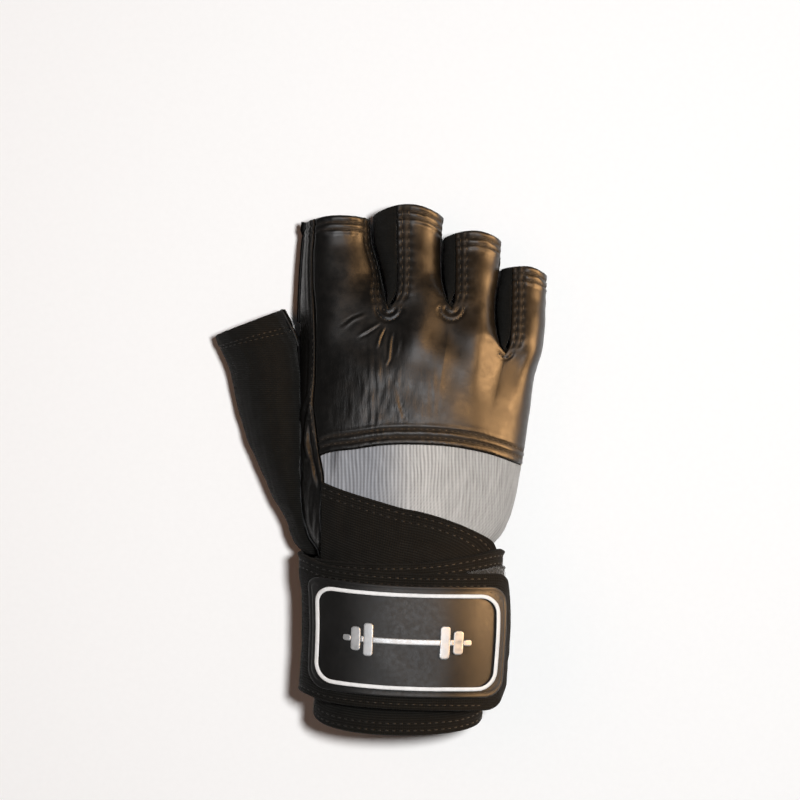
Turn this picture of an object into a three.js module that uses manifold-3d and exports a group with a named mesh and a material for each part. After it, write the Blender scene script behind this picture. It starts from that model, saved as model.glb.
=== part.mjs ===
// A fingerless lifting glove with a wrist wrap, for the right hand, lying palm down in the form
// that it is worn in. Millimetres: +X runs to the little finger, +Y to the fingertips, and +Z from
// the palm, which rests on z = 0, to the back of the hand.

import * as THREE from 'three';
import Module from 'manifold-3d';

const wasm = await Module();
wasm.setup();

// Driving sizes of the hand's form
const gloveLength = 195;
const knuckleBreadth = 92;
const handHeight = 36;
const webDip = 3;
const fingerGap = 0.8;
const hemRow = 5;

// Walls and clearances
const leatherWall = 1.4;
const gussetWall = 1.2;
const stretchWall = 1.3;
const cuffWall = 1.5;
const strapWall = 1.7;
const hemFold = 0.9;
const seamGap = 0.3;
const layerGap = 0.3;
// Half the gap between an upper and a lower panel at the hand's side
const sideGap = 0.6 * seamGap;

// Patch, loop tape and emblem on the wrist strap
const patchLength = 71;
const patchWall = 1.1;
const patchCorner = 6;
const borderInset = 3.4;
const borderWidth = 1.1;
const borderRise = 0.3;
const borderCorner = 6;
const emblemLength = 46;
const emblemRise = 0.8;
const plateHeight = 12;
const plateWidth = 3.4;
const shaftHeight = 2.2;
const loopPadWall = 0.9;

// How round the sections are: exponents of the superellipse over and under the hand
const upperRound = 2.3;
const underRound = 2.8;
const flatDepth = 0.8;

// The hand's outline and heights. along is a share of the glove's length from the wrist edge,
// left and right are shares of the knuckle breadth, the heights are shares of the hand's height:
// bottom and top of the section, its left side above and below the thumb's opening, its right side.
const handSections = [
  { along: 0.00, left: -0.252, right: 0.385, bottom: 0.165, leftHigh: 0.70, leftLow: 0.70, rightMid: 0.70, top: 1.17 },
  { along: 0.19, left: -0.232, right: 0.420, bottom: 0.165, leftHigh: 0.70, leftLow: 0.70, rightMid: 0.70, top: 1.19 },
  { along: 0.30, left: -0.238, right: 0.421, bottom: 0.165, leftHigh: 0.69, leftLow: 0.67, rightMid: 0.67, top: 1.15 },
  { along: 0.34, left: -0.246, right: 0.430, bottom: 0.160, leftHigh: 0.68, leftLow: 0.60, rightMid: 0.60, top: 1.11 },
  { along: 0.37, left: -0.283, right: 0.490, bottom: 0.120, leftHigh: 0.67, leftLow: 0.38, rightMid: 0.52, top: 1.07 },
  { along: 0.42, left: -0.312, right: 0.536, bottom: 0.030, leftHigh: 0.66, leftLow: 0.20, rightMid: 0.45, top: 1.03 },
  { along: 0.50, left: -0.318, right: 0.572, bottom: -0.022, leftHigh: 0.65, leftLow: 0.14, rightMid: 0.41, top: 1.00 },
  { along: 0.60, left: -0.318, right: 0.604, bottom: -0.022, leftHigh: 0.61, leftLow: 0.13, rightMid: 0.38, top: 0.97 },
  { along: 0.67, left: -0.322, right: 0.626, bottom: -0.022, leftHigh: 0.50, leftLow: 0.18, rightMid: 0.36, top: 0.95 },
  { along: 0.73, left: -0.326, right: 0.660, bottom: -0.022, leftHigh: 0.37, leftLow: 0.33, rightMid: 0.35, top: 0.93 },
  { along: 0.80, left: -0.326, right: 0.672, bottom: -0.022, leftHigh: 0.35, leftLow: 0.33, rightMid: 0.33, top: 0.90 },
  { along: 0.87, left: -0.320, right: 0.674, bottom: -0.022, leftHigh: 0.33, leftLow: 0.31, rightMid: 0.28, top: 0.80 },
  { along: 0.93, left: -0.310, right: 0.674, bottom: -0.022, leftHigh: 0.32, leftLow: 0.30, rightMid: 0.28, top: 0.72 },
  { along: 1.00, left: -0.290, right: 0.674, bottom: -0.022, leftHigh: 0.31, leftLow: 0.29, rightMid: 0.28, top: 0.62 },
];

// The four finger stalls: where the hem lies at the stall's left, middle and right, and how high
// the stall is there.
const stalls = [
  { name: 'index', hemLeft: 0.968, hemMid: 0.979, hemRight: 0.974, top: 0.64 },
  { name: 'middle', hemLeft: 0.980, hemMid: 1.000, hemRight: 0.977, top: 0.66 },
  { name: 'ring', hemLeft: 0.938, hemMid: 0.950, hemRight: 0.932, top: 0.62 },
  { name: 'little', hemLeft: 0.879, hemMid: 0.883, hemRight: 0.868, top: 0.53 },
];

// The three finger gaps. foot is where the line between two fingers meets the leather's lower edge.
// Each row gives the right edge of the finger left of the gap and the seam on the finger right of it.
const gaps = [
  {
    name: 'index_middle', crotch: 0.802, foot: -0.02,
    edges: [
      { along: 0.802, edge: 0.034, seam: 0.034 },
      { along: 0.815, edge: 0.024, seam: 0.056 },
      { along: 0.843, edge: 0.013, seam: 0.066 },
      { along: 0.890, edge: -0.010, seam: 0.067 },
      { along: 0.928, edge: -0.032, seam: 0.066 },
      { along: 0.985, edge: -0.042, seam: 0.066 },
    ],
  },
  {
    name: 'middle_ring', crotch: 0.802, foot: 0.19,
    edges: [
      { along: 0.802, edge: 0.288, seam: 0.288 },
      { along: 0.815, edge: 0.270, seam: 0.297 },
      { along: 0.858, edge: 0.250, seam: 0.301 },
      { along: 0.917, edge: 0.247, seam: 0.303 },
      { along: 0.985, edge: 0.258, seam: 0.303 },
    ],
  },
  {
    name: 'ring_little', crotch: 0.717, foot: 0.39,
    edges: [
      { along: 0.717, edge: 0.505, seam: 0.505 },
      { along: 0.735, edge: 0.480, seam: 0.520 },
      { along: 0.770, edge: 0.467, seam: 0.526 },
      { along: 0.814, edge: 0.465, seam: 0.530 },
      { along: 0.875, edge: 0.484, seam: 0.533 },
      { along: 0.940, edge: 0.493, seam: 0.533 },
    ],
  },
];

// Lower edge of the knuckle leather, and the seam between it, the grey fabric and the side strip
const leatherEdge = [
  { across: -0.248, along: 0.522 },
  { across: -0.203, along: 0.530 },
  { across: -0.119, along: 0.535 },
  { across: 0.026, along: 0.544 },
  { across: 0.202, along: 0.544 },
  { across: 0.324, along: 0.538 },
  { across: 0.449, along: 0.525 },
  { across: 0.588, along: 0.501 },
];
const sideSeam = [
  { along: 0.30, across: -0.190 },
  { along: 0.35, across: -0.222 },
  { along: 0.41, across: -0.235 },
  { along: 0.48, across: -0.228 },
  { along: 0.53, across: -0.247 },
  { along: 0.57, across: -0.258 },
  { along: 0.62, across: -0.270 },
  { along: 0.67, across: -0.264 },
  { along: 0.76, across: -0.264 },
  { along: 0.89, across: -0.276 },
  { along: 0.97, across: -0.264 },
];

// The thumb's sections from the wrist to its opening. Each runs from its seam on the hand, away
// from the hand's side by the share away, over the thumb to its outer side, and back underneath.
const thumbSections = [
  { along: 0.356, away: 0.000, outerAlong: 0.358, outer: -0.330, crest: 0.68, outerMid: 0.48, under: 0.20 },
  { along: 0.398, away: 0.000, outerAlong: 0.397, outer: -0.384, crest: 0.70, outerMid: 0.36, under: 0.02 },
  { along: 0.455, away: 0.000, outerAlong: 0.448, outer: -0.443, crest: 0.72, outerMid: 0.30, under: 0.00 },
  { along: 0.512, away: 0.000, outerAlong: 0.505, outer: -0.500, crest: 0.73, outerMid: 0.27, under: 0.00 },
  { along: 0.569, away: 0.000, outerAlong: 0.558, outer: -0.548, crest: 0.72, outerMid: 0.25, under: 0.00 },
  { along: 0.626, away: 0.000, outerAlong: 0.611, outer: -0.580, crest: 0.70, outerMid: 0.25, under: 0.00 },
  { along: 0.674, away: 0.000, outerAlong: 0.655, outer: -0.601, crest: 0.68, outerMid: 0.26, under: 0.00 },
  { along: 0.717, away: 0.004, outerAlong: 0.691, outer: -0.620, crest: 0.66, outerMid: 0.27, under: 0.00 },
  { along: 0.750, away: 0.022, outerAlong: 0.719, outer: -0.643, crest: 0.64, outerMid: 0.28, under: 0.00 },
  { along: 0.775, away: 0.050, outerAlong: 0.736, outer: -0.659, crest: 0.63, outerMid: 0.29, under: 0.00 },
  { along: 0.799, away: 0.078, outerAlong: 0.751, outer: -0.672, crest: 0.61, outerMid: 0.29, under: 0.00 },
];
const thumbCrotch = 0.717;
const thumbCrotchSpan = 0.04;
const thumbGussetTop = 0.41;
const thumbGussetFoot = 0.15;

// The wrist strap's path. turn counts turns round the wrist from its left side, over the back.
// upper and lower are its edges as shares of the glove's length, layer counts walls beneath it.
const strapPath = [
  { turn: 0.06, upper: 0.474, lower: 0.215, layer: 0.0 },
  { turn: 0.25, upper: 0.422, lower: 0.165, layer: 0.0 },
  { turn: 0.44, upper: 0.347, lower: 0.090, layer: 0.0 },
  { turn: 0.60, upper: 0.318, lower: 0.072, layer: 0.0 },
  { turn: 0.75, upper: 0.300, lower: 0.060, layer: 0.0 },
  { turn: 0.92, upper: 0.318, lower: 0.070, layer: 0.3 },
  { turn: 1.06, upper: 0.330, lower: 0.080, layer: 1.0 },
  { turn: 1.25, upper: 0.323, lower: 0.072, layer: 1.0 },
  { turn: 1.44, upper: 0.343, lower: 0.085, layer: 1.0 },
  { turn: 1.60, upper: 0.325, lower: 0.072, layer: 1.0 },
  { turn: 1.75, upper: 0.305, lower: 0.060, layer: 1.0 },
  { turn: 1.92, upper: 0.335, lower: 0.082, layer: 1.3 },
  { turn: 2.06, upper: 0.335, lower: 0.076, layer: 2.0 },
  { turn: 2.13, upper: 0.320, lower: 0.064, layer: 2.0 },
  { turn: 2.25, upper: 0.306, lower: 0.052, layer: 2.0 },
  { turn: 2.32, upper: 0.304, lower: 0.049, layer: 2.65 },
  { turn: 2.40, upper: 0.303, lower: 0.046, layer: 2.68 },
  { turn: 2.50, upper: 0.302, lower: 0.047, layer: 2.68 },
];
const strapTipStart = 2.39;
const strapTipEnd = 2.497;
const cuffEdges = [
  { turn: 0.00, upper: 0.330, lower: 0.034 },
  { turn: 0.12, upper: 0.330, lower: 0.012 },
  { turn: 0.25, upper: 0.330, lower: 0.000 },
  { turn: 0.38, upper: 0.330, lower: 0.006 },
  { turn: 0.50, upper: 0.330, lower: 0.022 },
  { turn: 0.75, upper: 0.320, lower: 0.030 },
  { turn: 1.00, upper: 0.330, lower: 0.034 },
];
const panelFoot = 0.30;
const cuffTop = 0.355;
const cuffFlare = 0.6;
const cuffSpan = 0.055;

const clamp = (value, low, high) => Math.min(high, Math.max(low, value));
const mix = (a, b, t) => a + (b - a) * t;
const ease = (t) => {
  const c = clamp(t, 0, 1);
  return c * c * (3 - 2 * c);
};
const range = (count) => Array.from({ length: count + 1 }, (_, k) => k / count);

// A smooth curve through a table's rows, level beyond both ends
function tableCurve(rows, place, column) {
  const xs = rows.map((row) => row[place]);
  const ys = rows.map((row) => row[column]);
  const last = xs.length - 1;
  const slope = (i) => {
    const a = Math.max(0, i - 1);
    const b = Math.min(last, i + 1);
    return (ys[b] - ys[a]) / (xs[b] - xs[a]);
  };
  return (x) => {
    if (x <= xs[0]) return ys[0];
    if (x >= xs[last]) return ys[last];
    const i = xs.findIndex((_, k) => x <= xs[k + 1]);
    const span = xs[i + 1] - xs[i];
    const t = (x - xs[i]) / span;
    const rise = ys[i] * (2 * t ** 3 - 3 * t ** 2 + 1) + ys[i + 1] * (3 * t ** 2 - 2 * t ** 3);
    return rise + span * (slope(i) * (t ** 3 - 2 * t ** 2 + t) + slope(i + 1) * (t ** 3 - t ** 2));
  };
}

const across = (column) => {
  const curve = tableCurve(handSections, 'along', column);
  return (v) => curve(v) * knuckleBreadth;
};
const height = (column) => {
  const curve = tableCurve(handSections, 'along', column);
  return (v) => curve(v) * handHeight;
};
const leftEdge = across('left');
const rightEdge = across('right');
const bottom = height('bottom');
const leftHigh = height('leftHigh');
const leftLow = height('leftLow');
const rightMid = height('rightMid');
const top = height('top');
const placeY = (v) => (v - 0.5) * gloveLength;

// Height of a superellipse arch over its half width, 1 at the middle and 0 at the sides
const arch = (xi, round) => Math.max(0, 1 - Math.abs(xi) ** round) ** (1 / round);
const bump = (xi) => 0.5 + 0.5 * Math.cos(Math.PI * clamp(xi, -1, 1));
const share = (x, left, right) => clamp((2 * x - left - right) / (right - left), -1, 1);

// The palm's section, as if it had no fingers
function palmTop(x, v) {
  const xi = share(x, leftEdge(v), rightEdge(v));
  const side = xi < 0 ? leftHigh(v) : rightMid(v);
  return side + (top(v) - side) * arch(xi, upperRound);
}
function palmUnder(x, v) {
  const xi = share(x, leftEdge(v), rightEdge(v));
  const side = xi < 0 ? leftLow(v) : rightMid(v);
  return Math.max(0, side - (side - bottom(v)) * arch(xi, underRound));
}

const gapEdge = gaps.map((gap) => tableCurve(gap.edges, 'along', 'edge'));
const gapSeam = gaps.map((gap) => tableCurve(gap.edges, 'along', 'seam'));
const lowerEdge = tableCurve(leatherEdge, 'across', 'along');
const leatherFoot = (x) => lowerEdge(x / knuckleBreadth);
const seamCurve = tableCurve(sideSeam, 'along', 'across');
const seamX = (v) => seamCurve(v) * knuckleBreadth;

// The line between two fingers below their crotch, straight down to its foot at footLevel
const footLevel = 0.5;
function gapLine(j, v) {
  const gap = gaps[j];
  const t = (gap.crotch - v) / (gap.crotch - footLevel);
  return mix(gap.edges[0].edge, gap.foot, Math.max(0, t)) * knuckleBreadth;
}
const edgeX = (j, v) => (v <= gaps[j].crotch ? gapLine(j, v) : gapEdge[j](v) * knuckleBreadth);
const stallSeamX = (j, v) => (v <= gaps[j].crotch ? gapLine(j, v) : gapSeam[j](v) * knuckleBreadth);

// Outer sides of finger i: the hand's own sides, or the finger gaps
function fingerSides(i, v) {
  const left = i === 0 ? leftEdge(v) : edgeX(i - 1, v) + opening(i - 1, v) * fingerGap;
  const right = i === 3 ? rightEdge(v) : edgeX(i, v);
  return [left, right];
}
// 0 at and below a crotch, 1 once the two fingers are apart
const partingSpan = 0.03;
const opening = (j, v) => ease((v - gaps[j].crotch) / partingSpan);
// 1 at and below a crotch, 0 where the finger's side is a plain round
const webSpan = 0.07;
const web = (j, v) => 1 - ease((v - gaps[j].crotch) / webSpan);
// How far the fingers' separate arches show in the hand below a crotch
const grooveSpan = 0.13;
const groove = (j, v) => ease((v - gaps[j].crotch + grooveSpan) / grooveSpan);

const knuckleRow = 0.72;
const knuckleReach = 0.06;
const straightSide = 1.2;
// Height of a finger's upright side as a share of its crest, and of the web's foot at a crotch
const sideShare = 0.47;
const webUnder = 0.13;
function stallTop(i, v) {
  const [left, right] = fingerSides(i, v);
  const knuckle = palmTop((left + right) / 2, Math.min(v, knuckleRow + knuckleReach));
  const stall = stalls[i];
  return mix(knuckle, stall.top * handHeight, ease((v - knuckleRow) / (stall.hemMid - knuckleRow)));
}
// Height where a finger's side turns from its arch to its upright side
function sideUpper(i, j, v) {
  if (j < 0) return leftHigh(v);
  if (j > 2) return rightMid(v);
  const line = gapLine(j, v);
  const webHeight = palmTop(line, Math.min(v, gaps[j].crotch)) - webDip;
  return mix(sideShare * stallTop(i, v) + straightSide, webHeight, web(j, v));
}
function sideUnder(i, j, v) {
  if (j < 0) return leftLow(v);
  if (j > 2) return rightMid(v);
  return mix(sideShare * stallTop(i, v) - straightSide, webUnder * handHeight, web(j, v));
}

// Back of the hand and of finger i
function backHeight(i, x, v) {
  const [left, right] = fingerSides(i, v);
  const xi = share(x, left, right);
  const j = xi < 0 ? i - 1 : i;
  const outer = j < 0 || j > 2;
  const side = sideUpper(i, j, v);
  const soft = outer ? 0 : 1 - opening(j, v);
  const profile = mix(arch(xi, upperRound), bump(xi), soft);
  const finger = side + (stallTop(i, v) - side) * profile;
  const inner = clamp((xi + 1) / 2, 0, 1);
  const weight = mix(groove(Math.max(0, i - 1), v), groove(Math.min(2, i), v), inner);
  return mix(palmTop(x, v), finger, weight);
}
// Palm side of the hand and of finger i
function frontHeight(i, x, v) {
  const [left, right] = fingerSides(i, v);
  const xi = share(x, left, right);
  const side = sideUnder(i, xi < 0 ? i - 1 : i, v);
  const finger = Math.max(0, side - (side + flatDepth) * arch(xi, underRound));
  const inner = clamp((xi + 1) / 2, 0, 1);
  const weight = mix(groove(Math.max(0, i - 1), v), groove(Math.min(2, i), v), inner);
  return mix(palmUnder(x, v), finger, weight);
}

// A place across a section as an angle, so that rows are closer where the side turns down
function spread(from, to, left, right, round, t) {
  const centre = (left + right) / 2;
  const half = (right - left) / 2;
  const angleOf = (x) => {
    const xi = clamp((x - centre) / half, -1, 1);
    return Math.acos(-Math.sign(xi) * Math.abs(xi) ** (round / 2));
  };
  const cosine = Math.cos(mix(angleOf(from), angleOf(to), t));
  return centre - half * Math.sign(cosine) * Math.abs(cosine) ** (2 / round);
}

function hemAt(i, xi) {
  const stall = stalls[i];
  const side = xi < 0 ? stall.hemLeft : stall.hemRight;
  return mix(stall.hemMid, side, xi * xi);
}

// A surface of rows of points, each with its wall, welded where strips share a border. A point on a
// seam may also have its facing, so that the two pieces of the seam are cut along the same line.
class Surface {
  constructor() {
    this.points = [];
    this.walls = [];
    this.facings = [];
    this.faces = [];
    this.lookup = new Map();
  }

  point([x, y, z, wall, facing]) {
    const key = [x, y, z].map((value) => Math.round(value * 500)).join();
    if (!this.lookup.has(key)) {
      this.lookup.set(key, this.points.length);
      this.points.push(new THREE.Vector3(x, y, z));
      this.walls.push(wall);
      this.facings.push(facing);
    }
    return this.lookup.get(key);
  }

  addGrid(rows) {
    const ids = rows.map((row) => row.map((place) => this.point(place)));
    for (let r = 0; r + 1 < ids.length; r += 1) {
      for (let c = 0; c + 1 < ids[r].length; c += 1) {
        this.addFace(ids[r][c], ids[r][c + 1], ids[r + 1][c + 1]);
        this.addFace(ids[r][c], ids[r + 1][c + 1], ids[r + 1][c]);
      }
    }
  }

  addFace(a, b, c) {
    if (a !== b && b !== c && a !== c) this.faces.push([a, b, c]);
  }

  // Closes the surface into a wall that goes inwards from it by each point's thickness
  thicken() {
    const count = this.points.length;
    const normals = this.points.map(() => new THREE.Vector3());
    const edges = new Map();
    const [ab, ac] = [new THREE.Vector3(), new THREE.Vector3()];
    for (const [a, b, c] of this.faces) {
      ab.subVectors(this.points[b], this.points[a]);
      ac.subVectors(this.points[c], this.points[a]);
      ab.cross(ac);
      for (const id of [a, b, c]) normals[id].add(ab);
      for (const [from, to] of [[a, b], [b, c], [c, a]]) edges.set(`${from},${to}`, [from, to]);
    }
    const positions = [];
    this.points.forEach((p) => positions.push(p.x, p.y, p.z));
    this.points.forEach((p, id) => {
      const facing = this.facings[id] || normals[id].normalize();
      const inner = p.clone().addScaledVector(facing, -this.walls[id]);
      positions.push(inner.x, inner.y, inner.z);
    });
    const index = [];
    for (const [a, b, c] of this.faces) {
      index.push(a, b, c, a + count, c + count, b + count);
    }
    for (const [from, to] of edges.values()) {
      if (edges.has(`${to},${from}`)) continue;
      index.push(to, from, from + count, to, from + count, to + count);
    }
    const geometry = new THREE.BufferGeometry();
    geometry.setAttribute('position', new THREE.Float32BufferAttribute(positions, 3));
    geometry.setIndex(index);
    return geometry;
  }
}

// The wall of a row, thicker where a hem is turned in within hemRow of the edge
const hemStep = 0.4 * hemRow;
function hemmed(wall, y, hemY) {
  return wall + hemFold * ease((y - hemY + hemRow) / hemStep);
}

const toLeft = new THREE.Vector3(-1, 0, 0);
const toRight = new THREE.Vector3(1, 0, 0);
// Which way a section faces at a place across it, from its slope there. up is 1 over, -1 under.
const slopeStep = 0.3;
function facingAt(surfaceZ, i, x, v, up) {
  const [left, right] = fingerSides(i, v);
  const step = x > (left + right) / 2 ? -slopeStep : slopeStep;
  const slope = (surfaceZ(i, x + step, v) - surfaceZ(i, x, v)) / step;
  return new THREE.Vector3(-slope, 0, 1).normalize().multiplyScalar(up);
}

// Rows from a panel's foot to a hem: three stretches that meet at the two crotch levels. Above a
// crotch the rows start closer together, by the power rowFan.
const rowFan = 1.3;
const littleCrotch = gaps[2].crotch;
const mainCrotch = gaps[0].crotch;
function stripRows(i, foot, counts) {
  const rows = range(counts[0]).map((t) => (xi, x) => mix(foot(x), littleCrotch, t));
  if (i < 3) {
    rows.push(...range(counts[1]).slice(1).map((t) => () => mix(littleCrotch, mainCrotch, t)));
  }
  const from = i < 3 ? mainCrotch : littleCrotch;
  const fan = range(counts[2]).slice(1).map((t) => t ** rowFan);
  rows.push(...fan.map((t) => (xi) => mix(from, hemAt(i, xi), t)));
  return rows;
}

// One finger's strip of a panel. bounds gives its two borders at a level, surfaceZ its height.
const settlePasses = 4;
const justAbove = 1e-6;
function strip(i, rows, columns, bounds, surfaceZ, up, wall) {
  const round = up > 0 ? upperRound : underRound;
  return rows.map((level) => range(columns).map((t) => {
    const guess = level(0, 0);
    let v = guess;
    let x = 0;
    for (let pass = 0; pass < settlePasses; pass += 1) {
      const [left, right] = fingerSides(i, v);
      const [from, to] = bounds(i, v);
      x = spread(from, to, left, right, round, t);
      v = level(share(x, left, right), x);
    }
    const y = placeY(v);
    const [left, right] = fingerSides(i, v);
    const thick = hemmed(wall, y, placeY(hemAt(i, share(x, left, right))));
    const onGap = (t === 0 && i > 0 && v > gaps[i - 1].crotch + justAbove)
      || (t === 1 && i < 3 && v > gaps[i].crotch + justAbove);
    let facing = onGap ? facingAt(surfaceZ, i, x, v, up) : undefined;
    let z = surfaceZ(i, x, v);
    if (i === 0 && t === 0) facing = up > 0 ? facingAt(surfaceZ, i, x, v, up) : toLeft;
    if (i === 3 && t === 1) facing = toRight;
    if (facing === toLeft || facing === toRight) z += up * sideGap;
    return [x, y, z, thick, facing];
  }));
}

// Borders of the knuckle leather: its side seam, the gap's edge and seam, the hand's right side
const leatherTurn = 0.03;
function backBounds(i, v) {
  const [left, right] = fingerSides(i, v);
  const rightShift = (right - left) * 0.5 * leatherTurn;
  const from = i === 0 ? seamX(v) + seamGap : stallSeamX(i - 1, v);
  if (i === 3) return [from, right];
  return [from, right - opening(i, v) * rightShift];
}
const frontTuck = 3.4;
function frontBounds(i, v) {
  const [left, right] = fingerSides(i, v);
  const from = i === 0 ? left : left + frontTuck * opening(i - 1, v);
  const to = i === 3 ? right : right - frontTuck * opening(i, v);
  return [from, to];
}

function makeBackPanel() {
  const surface = new Surface();
  for (let i = 0; i < 4; i += 1) {
    const rows = stripRows(i, leatherFoot, i < 3 ? [7, 5, 8] : [7, 0, 8]);
    surface.addGrid(strip(i, rows, 5, backBounds, backHeight, 1, leatherWall));
  }
  return surface.thicken();
}

function makePalmPanel() {
  const surface = new Surface();
  for (let i = 0; i < 4; i += 1) {
    const rows = stripRows(i, () => panelFoot, i < 3 ? [9, 3, 7] : [9, 0, 7]);
    const grid = strip(i, rows, 4, frontBounds, frontHeight, -1, leatherWall);
    surface.addGrid(grid.map((row) => row.reverse()));
  }
  return surface.thicken();
}

// The folded leather edge between the index side seam and the hand's left side
const foldRise = 0.7;
const sideFolds = [
  { along: 0.30, depth: 0.2 },
  { along: 0.36, depth: 1.0 },
  { along: 0.46, depth: 1.0 },
  { along: 0.60, depth: 0.9 },
  { along: 0.70, depth: 0.2 },
  { along: 0.98, depth: 0.0 },
];
function makeSideStrip() {
  const surface = new Surface();
  const foldDepth = tableCurve(sideFolds, 'along', 'depth');
  const rows = range(26).map((t) => range(5).map((s) => {
    let v = mix(panelFoot, stalls[0].hemLeft, t);
    const [left, right] = fingerSides(0, v);
    const x = spread(left, seamX(v) - seamGap, left, right, upperRound, s);
    if (t === 1) v = hemAt(0, share(x, left, right));
    const lift = s === 0 ? sideGap : 0;
    const fold = foldRise * foldDepth(v) * Math.sin(2 * Math.PI * s);
    const y = placeY(v);
    const wall = hemmed(leatherWall, y, placeY(stalls[0].hemLeft));
    let facing = s === 0 ? toLeft : undefined;
    if (s === 1) facing = facingAt(backHeight, 0, x, v, 1);
    return [x, y, backHeight(0, x, v) + lift + fold, wall, facing];
  }));
  surface.addGrid(rows);
  return surface.thicken();
}

// Grey fabric on the back of the hand, from the side seam to the hand's right side
function makeHandBack() {
  const surface = new Surface();
  const edgeGap = seamGap / gloveLength;
  surface.addGrid(range(7).map((t) => range(17).map((s) => {
    let v = mix(panelFoot, lowerEdge(0), t);
    let x = 0;
    for (let pass = 0; pass < settlePasses; pass += 1) {
      x = spread(seamX(v) + seamGap, rightEdge(v), leftEdge(v), rightEdge(v), upperRound, s);
      v = mix(panelFoot, leatherFoot(x) - edgeGap, t);
    }
    const lift = s === 1 ? sideGap : 0;
    let facing = s === 1 ? toRight : undefined;
    if (s === 0) facing = facingAt((i, place, level) => palmTop(place, level), 0, x, v, 1);
    return [x, placeY(v), palmTop(x, v) + lift, stretchWall, facing];
  })));
  return surface.thicken();
}

// Points along a line of points at even distances, leaving out a stretch at each end
function resample(line, count, trimStart, trimEnd) {
  const lengths = [0];
  for (let k = 1; k < line.length; k += 1) {
    lengths.push(lengths[k - 1] + line[k].distanceTo(line[k - 1]));
  }
  const total = lengths[lengths.length - 1];
  return range(count).map((t) => {
    const goal = mix(trimStart, total - trimEnd, t);
    const k = clamp(lengths.findIndex((length) => length >= goal), 1, line.length - 1);
    const part = (goal - lengths[k - 1]) / (lengths[k] - lengths[k - 1] || 1);
    return line[k - 1].clone().lerp(line[k], part);
  });
}

// The side wall of a finger beside gap j, from the leather's seam down to the palm leather's seam.
// Its places rise by a share from the crotch to the stall's hem.
const wingSteps = 12;
function wingLine(j, onLeftFinger, part) {
  const i = onLeftFinger ? j : j + 1;
  const side = onLeftFinger ? 1 : 0;
  const settle = (bounds, round, surfaceZ, t) => {
    let v = mix(gaps[j].crotch, stalls[i].hemMid, part);
    let x = 0;
    for (let pass = 0; pass < settlePasses; pass += 1) {
      const [left, right] = fingerSides(i, v);
      x = spread(bounds(i, v)[side], [left, right][side], left, right, round, t);
      v = mix(gaps[j].crotch, hemAt(i, share(x, left, right)), part);
    }
    return new THREE.Vector3(x, placeY(v), surfaceZ(i, x, v));
  };
  const over = range(wingSteps).map((t) => settle(backBounds, upperRound, backHeight, t));
  const under = range(wingSteps).map((t) => settle(frontBounds, underRound, frontHeight, 1 - t));
  return [...over, ...under];
}

const gussetRows = 8;
const gussetColumns = 6;
const gussetFan = 1.4;
const gussetTrim = 1.5 * seamGap;
const palmTrim = 3.3 * seamGap;
const crotchReach = 0.045;
function makeGusset(j) {
  const surface = new Surface();
  const gap = gaps[j];
  const wing = (onLeftFinger) => {
    const i = onLeftFinger ? j : j + 1;
    const hem = onLeftFinger ? stalls[i].hemRight : stalls[i].hemLeft;
    return range(gussetRows).slice(1).map((t) => {
      const rise = t ** gussetFan;
      const row = mix(gap.crotch, hem, rise);
      const trim = gussetTrim + leatherWall * (1 - ease((row - gap.crotch) / crotchReach));
      const line = resample(wingLine(j, onLeftFinger, rise), gussetColumns, trim, trim + palmTrim);
      const wall = hemmed(gussetWall, placeY(row), placeY(hem));
      return line.map((p, k) => {
        const v = p.y / gloveLength + 0.5;
        let facing;
        if (k === 0) facing = facingAt(backHeight, i, p.x, v, 1);
        if (k === gussetColumns) facing = facingAt(frontHeight, i, p.x, v, -1);
        return [p.x, p.y, p.z, wall, facing];
      });
    });
  };
  const x = gapLine(j, gap.crotch);
  const y = placeY(gap.crotch);
  const high = backHeight(j, x, gap.crotch) - leatherWall - seamGap;
  const low = frontHeight(j, x, gap.crotch) + leatherWall + seamGap;
  const middle = range(gussetColumns).map((t) => [x, y, mix(high, low, t), gussetWall]);
  surface.addGrid([...wing(true).reverse(), middle, ...wing(false)].map((row) => row.reverse()));
  return surface.thicken();
}

const thumbCurve = Object.fromEntries(
  ['away', 'outerAlong', 'outer', 'crest', 'outerMid', 'under'].map((column) => [
    column, tableCurve(thumbSections, 'along', column),
  ]),
);
const thumbHem = thumbSections[thumbSections.length - 1].along;

// A section's ends stay a little below its crest, as a sine
const steepest = 0.98;
const sectionSteps = 20;
// One section of the thumb as points from its upper seam over the outer side to its lower seam:
// a half round over the thumb and one under it, each ended where it meets its seam's height
function thumbLine(v) {
  const steps = range(sectionSteps);
  const away = thumbCurve.away(v) * knuckleBreadth;
  const seam = new THREE.Vector2(leftEdge(v) - away, placeY(v));
  const outer = new THREE.Vector2(thumbCurve.outer(v) * knuckleBreadth, placeY(thumbCurve.outerAlong(v)));
  const side = thumbCurve.outerMid(v) * handHeight;
  const crest = thumbCurve.crest(v) * handHeight;
  const floor = thumbCurve.under(v) * handHeight - flatDepth;
  const high = Math.max(leftHigh(v), thumbGussetTop * handHeight);
  const closed = ease((v - thumbCrotch + thumbCrotchSpan) / thumbCrotchSpan);
  const low = mix(leftLow(v), thumbGussetFoot * handHeight, closed);
  const upperStart = Math.asin(clamp((high - side) / (crest - side), 0, steepest));
  const lowerEnd = Math.asin(clamp((side - low) / (side - floor), 0, steepest));
  const place = (angle, end, reach) => {
    const part = (1 + Math.cos(angle)) / (1 + Math.cos(end));
    const p = outer.clone().lerp(seam, part);
    return new THREE.Vector3(p.x, p.y, Math.max(0, side + reach * Math.sin(angle)));
  };
  const over = steps.map((t) => place(mix(upperStart, Math.PI, t), upperStart, crest - side));
  const under = steps.slice(1).map((t) => {
    return place(-mix(Math.PI, lowerEnd, t), lowerEnd, side - floor);
  });
  return [...over, ...under];
}

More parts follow.
